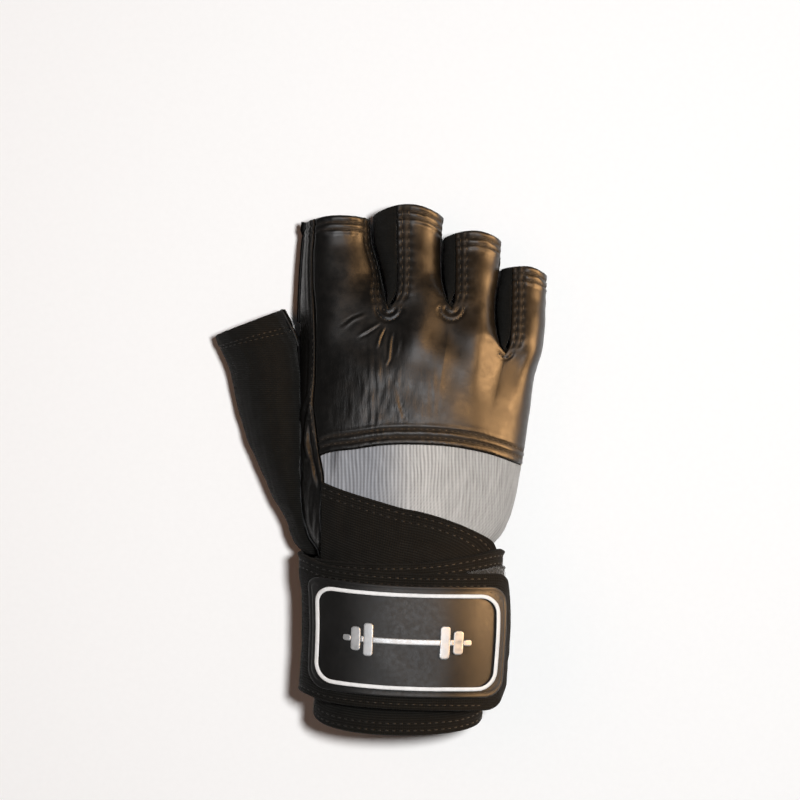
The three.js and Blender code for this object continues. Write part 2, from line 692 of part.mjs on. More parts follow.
const thumbRows = 15;
const thumbColumns = 16;
function makeThumbStall() {
  const surface = new Surface();
  const start = thumbSections[0].along;
  surface.addGrid(range(thumbRows).map((t) => {
    const v = mix(start, thumbHem, t);
    const line = resample(thumbLine(v), thumbColumns, seamGap, seamGap);
    const wall = hemmed(stretchWall, placeY(v), placeY(thumbHem));
    return line.map((p) => [p.x, p.y, p.z, wall]);
  }).map((row) => row.reverse()));
  return surface.thicken();
}

// Leather piece on the thumb's inner side, from its hem down to the thumb's crotch. It ends a share
// of its height short of the stall's two seams and swells a little between them.
const innerFoot = thumbCrotch + 0.012;
const innerTrim = 0.06;
const innerSwell = 0.9;
const swellStart = 0.35;
const swellSpan = 0.4;
function makeThumbGusset() {
  const surface = new Surface();
  surface.addGrid(range(7).map((t) => {
    const v = mix(innerFoot, thumbHem, t);
    const line = thumbLine(v);
    const [high, low] = [line[0], line[line.length - 1]];
    return range(4).map((s) => {
      const p = high.clone().lerp(low, mix(innerTrim, 1 - innerTrim, s));
      const swell = innerSwell * Math.sin(Math.PI * s) * ease((t - swellStart) / swellSpan);
      return [p.x - 2 * seamGap + swell, p.y, p.z, stretchWall];
    });
  }).map((row) => row.reverse()));
  return surface.thicken();
}

// A place on the wrist: turn round it, level along it, and distance out from the hand's form
function wristPoint(turn, v, out) {
  const angle = 2 * Math.PI * turn;
  const cosine = Math.cos(angle);
  const sine = Math.sin(angle);
  const half = (rightEdge(v) - leftEdge(v)) / 2 + out;
  const centre = (rightEdge(v) + leftEdge(v)) / 2;
  const round = sine > 0 ? upperRound : underRound;
  const side = cosine > 0 ? mix(leftHigh(v), leftLow(v), sine < 0 ? 1 : 0) : rightMid(v);
  const reach = sine > 0 ? top(v) - side + out : side - bottom(v) + out;
  const x = centre - half * Math.sign(cosine) * Math.abs(cosine) ** (2 / round);
  const z = side + reach * Math.sign(sine) * Math.abs(sine) ** (2 / round);
  return new THREE.Vector3(x, placeY(v), Math.max(0, z));
}

const strapUpper = tableCurve(strapPath, 'turn', 'upper');
const strapLower = tableCurve(strapPath, 'turn', 'lower');
const strapLayer = tableCurve(strapPath, 'turn', 'layer');
const cuffOut = layerGap + cuffWall;
const layerStep = strapWall + layerGap;
// The cuff's outer face flares a little where it laps over the glove's panels
const flareSpan = 0.04;
const cuffFace = (v) => cuffOut + cuffFlare * ease((v - panelFoot + flareSpan) / flareSpan);
// The strap's outer face, as a distance out: over the cuff at the wrist, on the hand above it
function strapOut(turn, v) {
  const base = mix(cuffFace(v) + layerGap, layerGap, ease((v - cuffTop) / cuffSpan));
  return base + layerStep * (strapLayer(turn) + 1);
}

// The turn at which the wrist's back has a place across
const nearlySide = 0.995;
function turnAt(x, v, out) {
  const centre = (rightEdge(v) + leftEdge(v)) / 2;
  const half = (rightEdge(v) - leftEdge(v)) / 2 + out;
  const xi = clamp((x - centre) / half, -nearlySide, nearlySide);
  return Math.acos(-Math.sign(xi) * Math.abs(xi) ** (upperRound / 2)) / (2 * Math.PI);
}

// The strap's sewn end is cut along the side leather, and its other end is rounded
const strapEndAcross = -0.237;
const backTurn = 0.25;
const strapSteps = 46;
const tipSteps = 9;
const tipFan = 1.7;
const tipRound = 2.6;
const tipFull = 0.42;
const tipLeast = 0.25;
function makeStrap() {
  const surface = new Surface();
  const first = strapPath[0].turn;
  const turns = [
    ...range(strapSteps).map((t) => mix(first, strapTipStart, t)),
    ...range(tipSteps).slice(1).map((t) => mix(strapTipStart, strapTipEnd, 1 - (1 - t) ** tipFan)),
  ];
  surface.addGrid(turns.map((turn) => {
    const tip = clamp((turn - strapTipStart) / (strapTipEnd - strapTipStart), 0, 1);
    const width = Math.max(tipLeast, (1 - tip ** tipRound) ** tipFull);
    const middle = (strapUpper(turn) + strapLower(turn)) / 2;
    const half = width * (strapUpper(turn) - strapLower(turn)) / 2;
    return range(7).map((s) => {
      const v = middle + half * (1 - 2 * s);
      const end = turnAt(strapEndAcross * knuckleBreadth, v, strapOut(turn, v));
      const place = turn < backTurn ? mix(end, backTurn, (turn - first) / (backTurn - first)) : turn;
      const p = wristPoint(place, v, strapOut(place, v));
      return [p.x, p.y, p.z, strapWall];
    });
  }));
  return surface.thicken();
}

const cuffSteps = 36;
const cuffFan = 1.6;
function makeCuff() {
  const surface = new Surface();
  const upper = tableCurve(cuffEdges, 'turn', 'upper');
  const lower = tableCurve(cuffEdges, 'turn', 'lower');
  surface.addGrid(range(cuffSteps).map((turn) => range(7).map((s) => {
    const v = mix(upper(turn), lower(turn), s ** cuffFan);
    const p = wristPoint(turn % 1, v, cuffFace(v));
    return [p.x, p.y, p.z, cuffWall];
  })));
  return surface.thicken();
}

// The patch's own places: right and up from its middle, seen from above, on the strap's end
const patchCentre = 0.103;
const patchLevel = 0.175;
const patchTurn = 2.25;
function patchPoint(right, up, rise) {
  const out = strapOut(patchTurn, patchLevel) + rise;
  const turn = 2 + turnAt(patchCentre * knuckleBreadth + right, patchLevel, out);
  const v = (strapUpper(turn) + strapLower(turn)) / 2 + up / gloveLength;
  return wristPoint(turn, v, strapOut(turn, v) + rise);
}

// A rounded rectangle's half height at a place along it
function cornered(half, place, halfHeight, corner) {
  const into = Math.max(0, Math.abs(place) - (half - corner));
  return halfHeight - corner + Math.sqrt(Math.max(0, corner * corner - into * into));
}

const patchShare = 0.80;
const patchHeight = patchShare * (strapPath[0].upper - strapPath[0].lower) * gloveLength;
function makePad(length, padHeight, corner, rise, wall, columns, rows, shiftX = 0, shiftY = 0) {
  const surface = new Surface();
  surface.addGrid(range(columns).map((t) => {
    const place = -length / 2 * Math.cos(Math.PI * t);
    const half = cornered(length / 2, place, padHeight / 2, corner);
    return range(rows).map((s) => {
      const p = patchPoint(place + shiftX, half * (1 - 2 * s) + shiftY, rise);
      return [p.x, p.y, p.z, wall];
    });
  }));
  return surface.thicken();
}
const patchRise = layerGap + patchWall;

const borderSteps = 44;
function makeBorder() {
  const surface = new Surface();
  const halfX = patchLength / 2 - borderInset;
  const halfY = patchHeight / 2 - borderInset;
  const path = new THREE.Shape();
  path.moveTo(-halfX + borderCorner, -halfY);
  path.lineTo(halfX - borderCorner, -halfY);
  path.absarc(halfX - borderCorner, -halfY + borderCorner, borderCorner, -Math.PI / 2, 0);
  path.lineTo(halfX, halfY - borderCorner);
  path.absarc(halfX - borderCorner, halfY - borderCorner, borderCorner, 0, Math.PI / 2);
  path.lineTo(-halfX + borderCorner, halfY);
  path.absarc(-halfX + borderCorner, halfY - borderCorner, borderCorner, Math.PI / 2, Math.PI);
  path.lineTo(-halfX, -halfY + borderCorner);
  path.absarc(-halfX + borderCorner, -halfY + borderCorner, borderCorner, Math.PI, 1.5 * Math.PI);
  surface.addGrid(range(borderSteps).map((t) => {
    const along = t === 1 ? 0 : t;
    const place = path.getPointAt(along);
    const tangent = path.getTangentAt(along);
    return [0, 1].map((s) => {
      const off = borderWidth * (s - 0.5);
      const rise = patchRise + layerGap + borderRise;
      const p = patchPoint(place.x + tangent.y * off, place.y - tangent.x * off, rise);
      return [p.x, p.y, p.z, borderRise];
    });
  }).map((row) => row.reverse()));
  return surface.thicken();
}

function toSolid(geometry) {
  return new wasm.Manifold(new wasm.Mesh({
    numProp: 3,
    vertProperties: new Float32Array(geometry.getAttribute('position').array),
    triVerts: new Uint32Array(geometry.getIndex().array),
  }));
}

function toGeometry(solid) {
  const mesh = solid.getMesh();
  const geometry = new THREE.BufferGeometry();
  geometry.setAttribute('position', new THREE.Float32BufferAttribute(mesh.vertProperties, 3));
  geometry.setIndex(Array.from(mesh.triVerts));
  return geometry;
}

// A plain barbell in relief: a shaft with two plates at each end. The plates' places are shares of
// the emblem's length, their heights shares of the large plate's.
const plates = [
  { place: 0.30, tall: 1.00 },
  { place: 0.40, tall: 0.72 },
];
const plateCorner = 0.35;
const shaftSteps = 12;
const plateSteps = 5;
function makeEmblem() {
  const rise = patchRise + layerGap + emblemRise;
  const relief = (length, tall, steps, shift) => {
    const corner = Math.min(length, tall) * plateCorner;
    return toSolid(makePad(length, tall, corner, rise, emblemRise, steps, 1, shift, 0));
  };
  let solid = relief(emblemLength, shaftHeight, shaftSteps, 0);
  for (const plate of plates) {
    for (const side of [-1, 1]) {
      const shift = side * plate.place * emblemLength;
      solid = solid.add(relief(plateWidth, plate.tall * plateHeight, plateSteps, shift));
    }
  }
  return toGeometry(solid);
}

// Loop tape on the strap's second turn, under the strap's end
const loopPadStart = 1.35;
const loopPadEnd = 1.465;
const loopPadTop = 0.030;
const loopPadFoot = 0.040;
function makeLoopPad() {
  const surface = new Surface();
  surface.addGrid(range(8).map((t) => {
    const turn = mix(loopPadStart, loopPadEnd, t);
    return range(5).map((s) => {
      const v = mix(strapUpper(turn) - loopPadTop, strapLower(turn) + loopPadFoot, s);
      const p = wristPoint(turn, v, strapOut(turn, v) + layerGap + loopPadWall);
      return [p.x, p.y, p.z, loopPadWall];
    });
  }));
  return surface.thicken();
}

const finish = (color, roughness) => new THREE.MeshStandardMaterial({ color, roughness, metalness: 0 });
const finishes = {
  knuckleLeather: finish(0x1d1a19, 0.35),
  palmLeather: finish(0x1a1918, 0.5),
  gusset: finish(0x17171a, 0.9),
  stretch: finish(0x141416, 0.95),
  greyFabric: finish(0xa5a09b, 0.85),
  webbing: finish(0x131314, 0.9),
  loopTape: finish(0x1c1b1a, 1.0),
  rubber: finish(0x303032, 0.6),
  white: finish(0xf0f0f0, 0.5),
  silver: finish(0xc4c6c8, 0.35),
};

const glove = new THREE.Group();
function addPiece(name, geometry, material) {
  const mesh = new THREE.Mesh(geometry, material);
  mesh.name = name;
  glove.add(mesh);
}

addPiece('back_panel', makeBackPanel(), finishes.knuckleLeather);
addPiece('palm_panel', makePalmPanel(), finishes.palmLeather);
addPiece('side_strip', makeSideStrip(), finishes.palmLeather);
gaps.forEach((gap, j) => addPiece(`gusset_${gap.name}`, makeGusset(j), finishes.gusset));
addPiece('hand_back', makeHandBack(), finishes.greyFabric);
addPiece('thumb_stall', makeThumbStall(), finishes.stretch);
addPiece('thumb_gusset', makeThumbGusset(), finishes.palmLeather);
addPiece('wrist_cuff', makeCuff(), finishes.webbing);
addPiece('wrist_strap', makeStrap(), finishes.webbing);
addPiece('loop_pad', makeLoopPad(), finishes.loopTape);
addPiece('patch', makePad(patchLength, patchHeight, patchCorner, patchRise, patchWall, 20, 4), finishes.rubber);
addPiece('patch_border', makeBorder(), finishes.white);
addPiece('emblem', makeEmblem(), finishes.silver);

// The origin is under the middle of the glove, on the surface that it lies on
const extent = new THREE.Box3().setFromObject(glove);
const middle = extent.getCenter(new THREE.Vector3());
glove.position.set(-middle.x, -middle.y, -extent.min.z);

export default glove;
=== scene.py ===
"""Fingerless lifting glove with a wrist wrap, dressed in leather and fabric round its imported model.

Surfaces are worked out in millimetres, with X to the little finger, Y to the fingertips and Z up
from the palm, and are put into their meshes in metres.
"""

import math

import bpy
import numpy as np
from bpy.props import FloatProperty, FloatVectorProperty, PointerProperty
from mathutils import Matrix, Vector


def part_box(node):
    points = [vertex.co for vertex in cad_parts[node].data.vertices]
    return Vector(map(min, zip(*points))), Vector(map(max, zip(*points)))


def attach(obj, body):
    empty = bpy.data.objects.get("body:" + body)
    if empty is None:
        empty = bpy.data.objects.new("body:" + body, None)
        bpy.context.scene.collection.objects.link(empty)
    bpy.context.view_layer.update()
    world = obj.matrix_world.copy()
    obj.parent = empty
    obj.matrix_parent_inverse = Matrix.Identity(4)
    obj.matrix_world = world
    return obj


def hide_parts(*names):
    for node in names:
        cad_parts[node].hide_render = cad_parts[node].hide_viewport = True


bl_info = {
    "name": "Lifting Glove",
    "version": (1, 0, 0),
    "blender": (4, 5, 0),
    "location": "View3D > Sidebar > Glove",
    "description": "Dresses a fingerless lifting glove in leather, stretch fabric and a woven wrist wrap",
    "category": "Add Mesh",
}

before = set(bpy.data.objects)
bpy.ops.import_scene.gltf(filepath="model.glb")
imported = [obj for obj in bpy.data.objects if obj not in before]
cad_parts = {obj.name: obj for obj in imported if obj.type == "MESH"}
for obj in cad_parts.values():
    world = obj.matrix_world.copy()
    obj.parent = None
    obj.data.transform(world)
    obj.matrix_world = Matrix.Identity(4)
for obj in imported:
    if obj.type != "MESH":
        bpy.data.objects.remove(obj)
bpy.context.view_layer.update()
BODY = "root"
MM = 0.001

# Driving sizes of the hand's form, in millimetres
GLOVE_LENGTH = 195.0
KNUCKLE_BREADTH = 92.0
HAND_HEIGHT = 36.0
WEB_DIP = 3.0
FINGER_GAP = 0.8
HEM_ROW = 5.0

# Walls and clearances
LEATHER_WALL = 1.4
GUSSET_WALL = 1.2
STRETCH_WALL = 1.3
CUFF_WALL = 1.5
STRAP_WALL = 1.7
HEM_FOLD = 0.9
SEAM_GAP = 0.3
LAYER_GAP = 0.3
SIDE_GAP = 0.6 * SEAM_GAP
UPPER_ROUND = 2.3
UNDER_ROUND = 2.8
FLAT_DEPTH = 0.8

# Patch, loop tape and emblem on the wrist strap
PATCH_LENGTH = 71.0
PATCH_WALL = 1.1
PATCH_CORNER = 6.0
BORDER_INSET = 3.4
BORDER_WIDTH = 0.9
BORDER_RISE = 0.3
BORDER_CORNER = 6.0
EMBLEM_LENGTH = 46.0
EMBLEM_RISE = 0.8
PLATE_HEIGHT = 12.0
PLATE_WIDTH = 3.4
SHAFT_HEIGHT = 2.2
LOOP_WALL = 0.9
PATCH_CENTRE = 0.103
PATCH_LEVEL = 0.175


def table(columns, *rows):
    """Named columns of a table whose rows are typed side by side."""
    return dict(zip(columns.split(), np.array(rows, dtype=float).T))


def looks(columns, **rows):
    """Named rows of a table, each with its columns' names."""
    return {name: dict(zip(columns.split(), row)) for name, row in rows.items()}


# The hand's outline, in shares of the glove's length, the knuckle breadth and the hand's height
HAND = table(
    "along left right bottom left_high left_low right_mid top",
    (0.00, -0.252, 0.385, 0.165, 0.70, 0.70, 0.70, 1.17),
    (0.19, -0.232, 0.420, 0.165, 0.70, 0.70, 0.70, 1.19),
    (0.30, -0.238, 0.421, 0.165, 0.69, 0.67, 0.67, 1.15),
    (0.34, -0.246, 0.430, 0.160, 0.68, 0.60, 0.60, 1.11),
    (0.37, -0.283, 0.490, 0.120, 0.67, 0.38, 0.52, 1.07),
    (0.42, -0.312, 0.536, 0.030, 0.66, 0.20, 0.45, 1.03),
    (0.50, -0.318, 0.572, -0.022, 0.65, 0.14, 0.41, 1.00),
    (0.60, -0.318, 0.604, -0.022, 0.61, 0.13, 0.38, 0.97),
    (0.67, -0.322, 0.626, -0.022, 0.50, 0.18, 0.36, 0.95),
    (0.73, -0.326, 0.660, -0.022, 0.37, 0.33, 0.35, 0.93),
    (0.80, -0.326, 0.672, -0.022, 0.35, 0.33, 0.33, 0.90),
    (0.87, -0.320, 0.674, -0.022, 0.33, 0.31, 0.28, 0.80),
    (0.93, -0.310, 0.674, -0.022, 0.32, 0.30, 0.28, 0.72),
    (1.00, -0.290, 0.674, -0.022, 0.31, 0.29, 0.28, 0.62),
)

# Each finger stall's hem at its left, middle and right, and its height there
STALLS = table(
    "hem_left hem_mid hem_right top",
    (0.968, 0.979, 0.974, 0.64),
    (0.980, 1.000, 0.977, 0.66),
    (0.938, 0.950, 0.932, 0.62),
    (0.879, 0.883, 0.868, 0.53),
)
FINGERS = 4

# Each finger gap's crotch and foot, and its two sides: the finger left of it and the seam right of it
CROTCHES = (0.802, 0.802, 0.717)
GAP_FEET = (-0.02, 0.19, 0.39)
GAP_EDGES = (
    table(
        "along edge seam",
        (0.802, 0.034, 0.034),
        (0.815, 0.024, 0.056),
        (0.843, 0.013, 0.066),
        (0.890, -0.010, 0.067),
        (0.928, -0.032, 0.066),
        (0.985, -0.042, 0.066),
    ),
    table(
        "along edge seam",
        (0.802, 0.288, 0.288),
        (0.815, 0.270, 0.297),
        (0.858, 0.250, 0.301),
        (0.917, 0.247, 0.303),
        (0.985, 0.258, 0.303),
    ),
    table(
        "along edge seam",
        (0.717, 0.505, 0.505),
        (0.735, 0.480, 0.520),
        (0.770, 0.467, 0.526),
        (0.814, 0.465, 0.530),
        (0.875, 0.484, 0.533),
        (0.940, 0.493, 0.533),
    ),
)

# Lower edge of the knuckle leather, and the seam between it, the grey fabric and the side strip
LEATHER_EDGE = table(
    "across along",
    (-0.248, 0.522),
    (-0.203, 0.530),
    (-0.119, 0.535),
    (0.026, 0.544),
    (0.202, 0.544),
    (0.324, 0.538),
    (0.449, 0.525),
    (0.588, 0.501),
)
SIDE_SEAM = table(
    "along across",
    (0.30, -0.190),
    (0.35, -0.222),
    (0.41, -0.235),
    (0.48, -0.228),
    (0.53, -0.247),
    (0.57, -0.258),
    (0.62, -0.270),
    (0.67, -0.264),
    (0.76, -0.264),
    (0.89, -0.276),
    (0.97, -0.264),
)

# The thumb's sections, from the wrist to its opening
THUMB = table(
    "along away outer_along outer crest outer_mid under",
    (0.332, 0.000, 0.332, -0.302, 0.62, 0.46, 0.24),
    (0.356, 0.000, 0.356, -0.348, 0.67, 0.46, 0.20),
    (0.398, 0.000, 0.397, -0.384, 0.70, 0.36, 0.02),
    (0.455, 0.000, 0.448, -0.443, 0.72, 0.30, 0.00),
    (0.512, 0.000, 0.505, -0.500, 0.73, 0.27, 0.00),
    (0.569, 0.000, 0.558, -0.548, 0.72, 0.25, 0.00),
    (0.626, 0.000, 0.611, -0.580, 0.70, 0.25, 0.00),
    (0.674, 0.000, 0.655, -0.601, 0.68, 0.26, 0.00),
    (0.717, 0.004, 0.691, -0.620, 0.66, 0.27, 0.00),
    (0.750, 0.022, 0.719, -0.643, 0.64, 0.28, 0.00),
    (0.775, 0.050, 0.736, -0.659, 0.63, 0.29, 0.00),
    (0.799, 0.078, 0.751, -0.672, 0.61, 0.29, 0.00),
)
THUMB_CROTCH = 0.717
THUMB_CROTCH_SPAN = 0.04
THUMB_GUSSET_TOP = 0.41
THUMB_GUSSET_FOOT = 0.15

# The wrist strap's path: turns round the wrist, its two edges, and the walls beneath it
STRAP = table(
    "turn upper lower layer",
    (0.06, 0.474, 0.215, 0.0),
    (0.25, 0.422, 0.165, 0.0),
    (0.44, 0.347, 0.090, 0.0),
    (0.60, 0.318, 0.072, 0.0),
    (0.75, 0.300, 0.060, 0.0),
    (0.92, 0.318, 0.070, 0.3),
    (1.06, 0.330, 0.080, 1.0),
    (1.25, 0.323, 0.072, 1.0),
    (1.44, 0.343, 0.085, 1.0),
    (1.60, 0.325, 0.072, 1.0),
    (1.75, 0.305, 0.060, 1.0),
    (1.92, 0.335, 0.082, 1.3),
    (2.06, 0.335, 0.076, 2.0),
    (2.13, 0.320, 0.064, 2.0),
    (2.25, 0.306, 0.052, 2.0),
    (2.32, 0.304, 0.049, 2.65),
    (2.40, 0.303, 0.046, 2.68),
    (2.50, 0.302, 0.047, 2.68),
)
STRAP_TIP_START = 2.39
STRAP_TIP_END = 2.497
LOOP_START = 1.35
LOOP_END = 1.465
CUFF = table(
    "turn upper lower",
    (0.00, 0.330, 0.034),
    (0.12, 0.330, 0.012),
    (0.25, 0.330, 0.000),
    (0.38, 0.330, 0.006),
    (0.50, 0.330, 0.022),
    (0.75, 0.320, 0.030),
    (1.00, 0.330, 0.034),
)
PANEL_FOOT = 0.30
CUFF_TOP = 0.355
CUFF_FLARE = 0.6
CUFF_SPAN = 0.055

# Creases of the knuckle leather, as places in millimetres: a fan below the first crotch, one long
# crease down the middle, and a soft one behind the index knuckle
CREASES = (
    {"path": ((0.6, 52.7), (-4.4, 49.5), (-8.0, 47.6)), "width": 0.6, "depth": 0.26},
    {"path": ((2.3, 51.6), (0.6, 47.8), (-0.4, 43.6)), "width": 0.55, "depth": 0.24},
    {"path": ((5.3, 50.0), (4.5, 45.7), (4.0, 39.7), (2.6, 37.0)), "width": 0.6, "depth": 0.32},
    {"path": ((7.6, 50.5), (7.6, 45.0), (6.6, 40.0)), "width": 0.5, "depth": 0.18},
    {"path": ((5.7, 31.5), (6.9, 24.4), (9.1, 18.1), (11.0, 14.8)), "width": 0.8, "depth": 0.2},
    {"path": ((-14.8, 51.6), (-10.6, 55.2), (-5.6, 57.2)), "width": 0.6, "depth": 0.24},
)
# Folds of the side leather, which run down to the wrist
SIDE_FOLDS = (
    {"path": ((-24.4, 40.0), (-24.6, 32.2), (-25.4, 21.1), (-23.6, 9.0)), "width": 0.7, "depth": 0.45},
    {"path": ((-25.6, 27.0), (-28.4, 18.9), (-28.9, 11.1), (-27.4, 1.0)), "width": 0.8, "depth": 0.75},
    {"path": ((-26.2, 19.0), (-26.2, 9.3), (-24.4, 1.0), (-22.4, -8.1)), "width": 0.8, "depth": 0.95},
    {"path": ((-29.6, 12.0), (-29.6, 0.0), (-27.0, -9.0)), "width": 0.8, "depth": 0.4},
)


def mix(a, b, t):
    """The place a share t of the way from a to b."""
    return a + (b - a) * t


def ease(t):
    """A smooth step: 0 below 0, 1 above 1, with level ends."""
    c = np.clip(t, 0.0, 1.0)
    return c * c * (3.0 - 2.0 * c)


def ridge(distance, width):
    """A round ridge: 1 on its line, falling as the exponential of minus the squared distance."""
    return np.exp(-((distance / width) ** 2))


def curve(rows, place, column):
    """A smooth curve through a table's rows, a cubic between two rows, level beyond both ends."""
    xs, ys = rows[place], rows[column]
    last = len(xs) - 1
    above = np.minimum(np.arange(last + 1) + 1, last)
    below = np.maximum(np.arange(last + 1) - 1, 0)
    slopes = (ys[above] - ys[below]) / (xs[above] - xs[below])

    def at(x):
        held = np.clip(x, xs[0], xs[-1])
        i = np.clip(np.searchsorted(xs, held, side="right") - 1, 0, last - 1)
        span = xs[i + 1] - xs[i]
        t = (held - xs[i]) / span
        rise = ys[i] * (2 * t**3 - 3 * t**2 + 1) + ys[i + 1] * (3 * t**2 - 2 * t**3)
        turn = slopes[i] * (t**3 - 2 * t**2 + t) + slopes[i + 1] * (t**3 - t**2)
        return rise + span * turn

    return at


hand = {name: curve(HAND, "along", name) for name in HAND if name != "along"}
thumb = {name: curve(THUMB, "along", name) for name in THUMB if name != "along"}
gap_edge = [curve(rows, "along", "edge") for rows in GAP_EDGES]
gap_seam = [curve(rows, "along", "seam") for rows in GAP_EDGES]
lower_edge = curve(LEATHER_EDGE, "across", "along")
seam_across = curve(SIDE_SEAM, "along", "across")
strap_upper = curve(STRAP, "turn", "upper")
strap_lower = curve(STRAP, "turn", "lower")
strap_layer = curve(STRAP, "turn", "layer")
cuff_upper = curve(CUFF, "turn", "upper")
cuff_lower = curve(CUFF, "turn", "lower")


def place_y(v):
    """Millimetres along the glove at a share of its length."""
    return (v - 0.5) * GLOVE_LENGTH


def left_edge(v):
    """The hand's left side."""
    return hand["left"](v) * KNUCKLE_BREADTH


def right_edge(v):
    """The hand's right side."""
    return hand["right"](v) * KNUCKLE_BREADTH


def level(name, v):
    """A height from the table of the hand's sections."""
    return hand[name](v) * HAND_HEIGHT


def arch(xi, power):
    """A superellipse arch over its half width: 1 at the middle and 0 at the sides."""
    return np.maximum(0.0, 1.0 - np.abs(xi) ** power) ** (1.0 / power)


def share_across(x, left, right):
    """Place across a section, from -1 at its left side to 1 at its right side."""
    return np.clip((2 * x - left - right) / (right - left), -1.0, 1.0)


def palm_top(x, v):
    """Back of the hand as one arch from its left side to its right side."""
    xi = share_across(x, left_edge(v), right_edge(v))
    side = np.where(xi < 0, level("left_high", v), level("right_mid", v))
    return side + (level("top", v) - side) * arch(xi, UPPER_ROUND)


def palm_under(x, v):
    """Palm as one arch downwards, flat where it rests."""
    xi = share_across(x, left_edge(v), right_edge(v))
    side = np.where(xi < 0, level("left_low", v), level("right_mid", v))
    return np.maximum(0.0, side - (side - level("bottom", v)) * arch(xi, UNDER_ROUND))


def gap_line(j, v):
    """The line between two fingers below their crotch, straight down to its foot."""
    t = np.maximum(0.0, (CROTCHES[j] - v) / (CROTCHES[j] - 0.5))
    return mix(GAP_EDGES[j]["edge"][0], GAP_FEET[j], t) * KNUCKLE_BREADTH


def edge_x(j, v):
    """Right edge of the finger left of gap j."""
    return np.where(v <= CROTCHES[j], gap_line(j, v), gap_edge[j](v) * KNUCKLE_BREADTH)


def seam_x(j, v):
    """Leather seam of the finger right of gap j."""
    return np.where(v <= CROTCHES[j], gap_line(j, v), gap_seam[j](v) * KNUCKLE_BREADTH)


PARTING_SPAN = 0.03
WEB_SPAN = 0.07
GROOVE_SPAN = 0.13
KNUCKLE_ROW = 0.72
KNUCKLE_REACH = 0.06
STRAIGHT_SIDE = 1.2
SIDE_SHARE = 0.47
WEB_UNDER = 0.13


def opening(j, v):
    """0 at and below crotch j, 1 once the two fingers are apart."""
    return ease((v - CROTCHES[j]) / PARTING_SPAN)


def web(j, v):
    """1 at and below crotch j, 0 where the finger's side is a plain round."""
    return 1 - ease((v - CROTCHES[j]) / WEB_SPAN)


def groove(j, v):
    """How far the fingers' own arches show in the hand below crotch j."""
    return ease((v - CROTCHES[j] + GROOVE_SPAN) / GROOVE_SPAN)


def finger_sides(i, v):
    """Outer sides of finger i: the hand's own sides, or the finger gaps."""
    left = left_edge(v) if i == 0 else edge_x(i - 1, v) + opening(i - 1, v) * FINGER_GAP
    right = right_edge(v) if i == FINGERS - 1 else edge_x(i, v)
    return left, right


def stall_top(i, v):
    """Crest of finger i, from the knuckle down to the height of its hem."""
    left, right = finger_sides(i, v)
    knuckle = palm_top((left + right) / 2, np.minimum(v, KNUCKLE_ROW + KNUCKLE_REACH))
    t = ease((v - KNUCKLE_ROW) / (STALLS["hem_mid"][i] - KNUCKLE_ROW))
    return mix(knuckle, STALLS["top"][i] * HAND_HEIGHT, t)


def side_upper(i, j, v):
    """Height where a finger's side turns from its arch to its upright side."""
    if j < 0:
        return level("left_high", v)
    if j > FINGERS - 2:
        return level("right_mid", v)
    web_height = palm_top(gap_line(j, v), np.minimum(v, CROTCHES[j])) - WEB_DIP
    return mix(SIDE_SHARE * stall_top(i, v) + STRAIGHT_SIDE, web_height, web(j, v))


def side_under(i, j, v):
    """Height where a finger's upright side turns to its palm side."""
    if j < 0:
        return level("left_low", v)
    if j > FINGERS - 2:
        return level("right_mid", v)
    return mix(SIDE_SHARE * stall_top(i, v) - STRAIGHT_SIDE, WEB_UNDER * HAND_HEIGHT, web(j, v))


def groove_weight(i, xi, v):
    """Share of the finger's own arch at a place across it, from the grooves on its two sides."""
    inner = np.clip((xi + 1) / 2, 0.0, 1.0)
    return mix(groove(max(0, i - 1), v), groove(min(FINGERS - 2, i), v), inner)


def back_height(i, x, v):
    """Back of the hand and of finger i, an arch that softens to a cosine above a crotch's web."""
    left, right = finger_sides(i, v)
    xi = share_across(x, left, right)
    low, high = i - 1, i
    on_left = xi < 0
    side = np.where(on_left, side_upper(i, low, v), side_upper(i, high, v))
    soft_left = 0.0 if low < 0 else 1 - opening(low, v)
    soft_right = 0.0 if high > FINGERS - 2 else 1 - opening(high, v)
    soft = np.where(on_left, soft_left, soft_right)
    profile = mix(arch(xi, UPPER_ROUND), 0.5 + 0.5 * np.cos(np.pi * xi), soft)
    finger = side + (stall_top(i, v) - side) * profile
    return mix(palm_top(x, v), finger, groove_weight(i, xi, v))


def front_height(i, x, v):
    """Palm side of the hand and of finger i, an arch downwards cut flat at the resting plane."""
    left, right = finger_sides(i, v)
    xi = share_across(x, left, right)
    side = np.where(xi < 0, side_under(i, i - 1, v), side_under(i, i, v))
    finger = np.maximum(0.0, side - (side + FLAT_DEPTH) * arch(xi, UNDER_ROUND))
    return mix(palm_under(x, v), finger, groove_weight(i, xi, v))


def spread(start, end, left, right, power, t):
    """Place across a section by angle, so that rows are closer where the side turns down."""
    centre, half = (left + right) / 2, (right - left) / 2

    def angle(x):
        xi = np.clip((x - centre) / half, -1.0, 1.0)
        return np.arccos(-np.sign(xi) * np.abs(xi) ** (power / 2))

    cosine = np.cos(mix(angle(start), angle(end), t))
    return centre - half * np.sign(cosine) * np.abs(cosine) ** (2 / power)


def hem_at(i, xi):
    """Level of stall i's hem at a place across it, a parabola on each side of its middle."""
    side = np.where(xi < 0, STALLS["hem_left"][i], STALLS["hem_right"][i])
    return mix(STALLS["hem_mid"][i], side, xi * xi)


# Distances of the close rows from an edge, and the room beyond the last of them
EDGE_STEPS = np.array([0.12, 0.34, 0.66, 1.05])
EDGE_ROOM = 1.2 * EDGE_STEPS[-1]


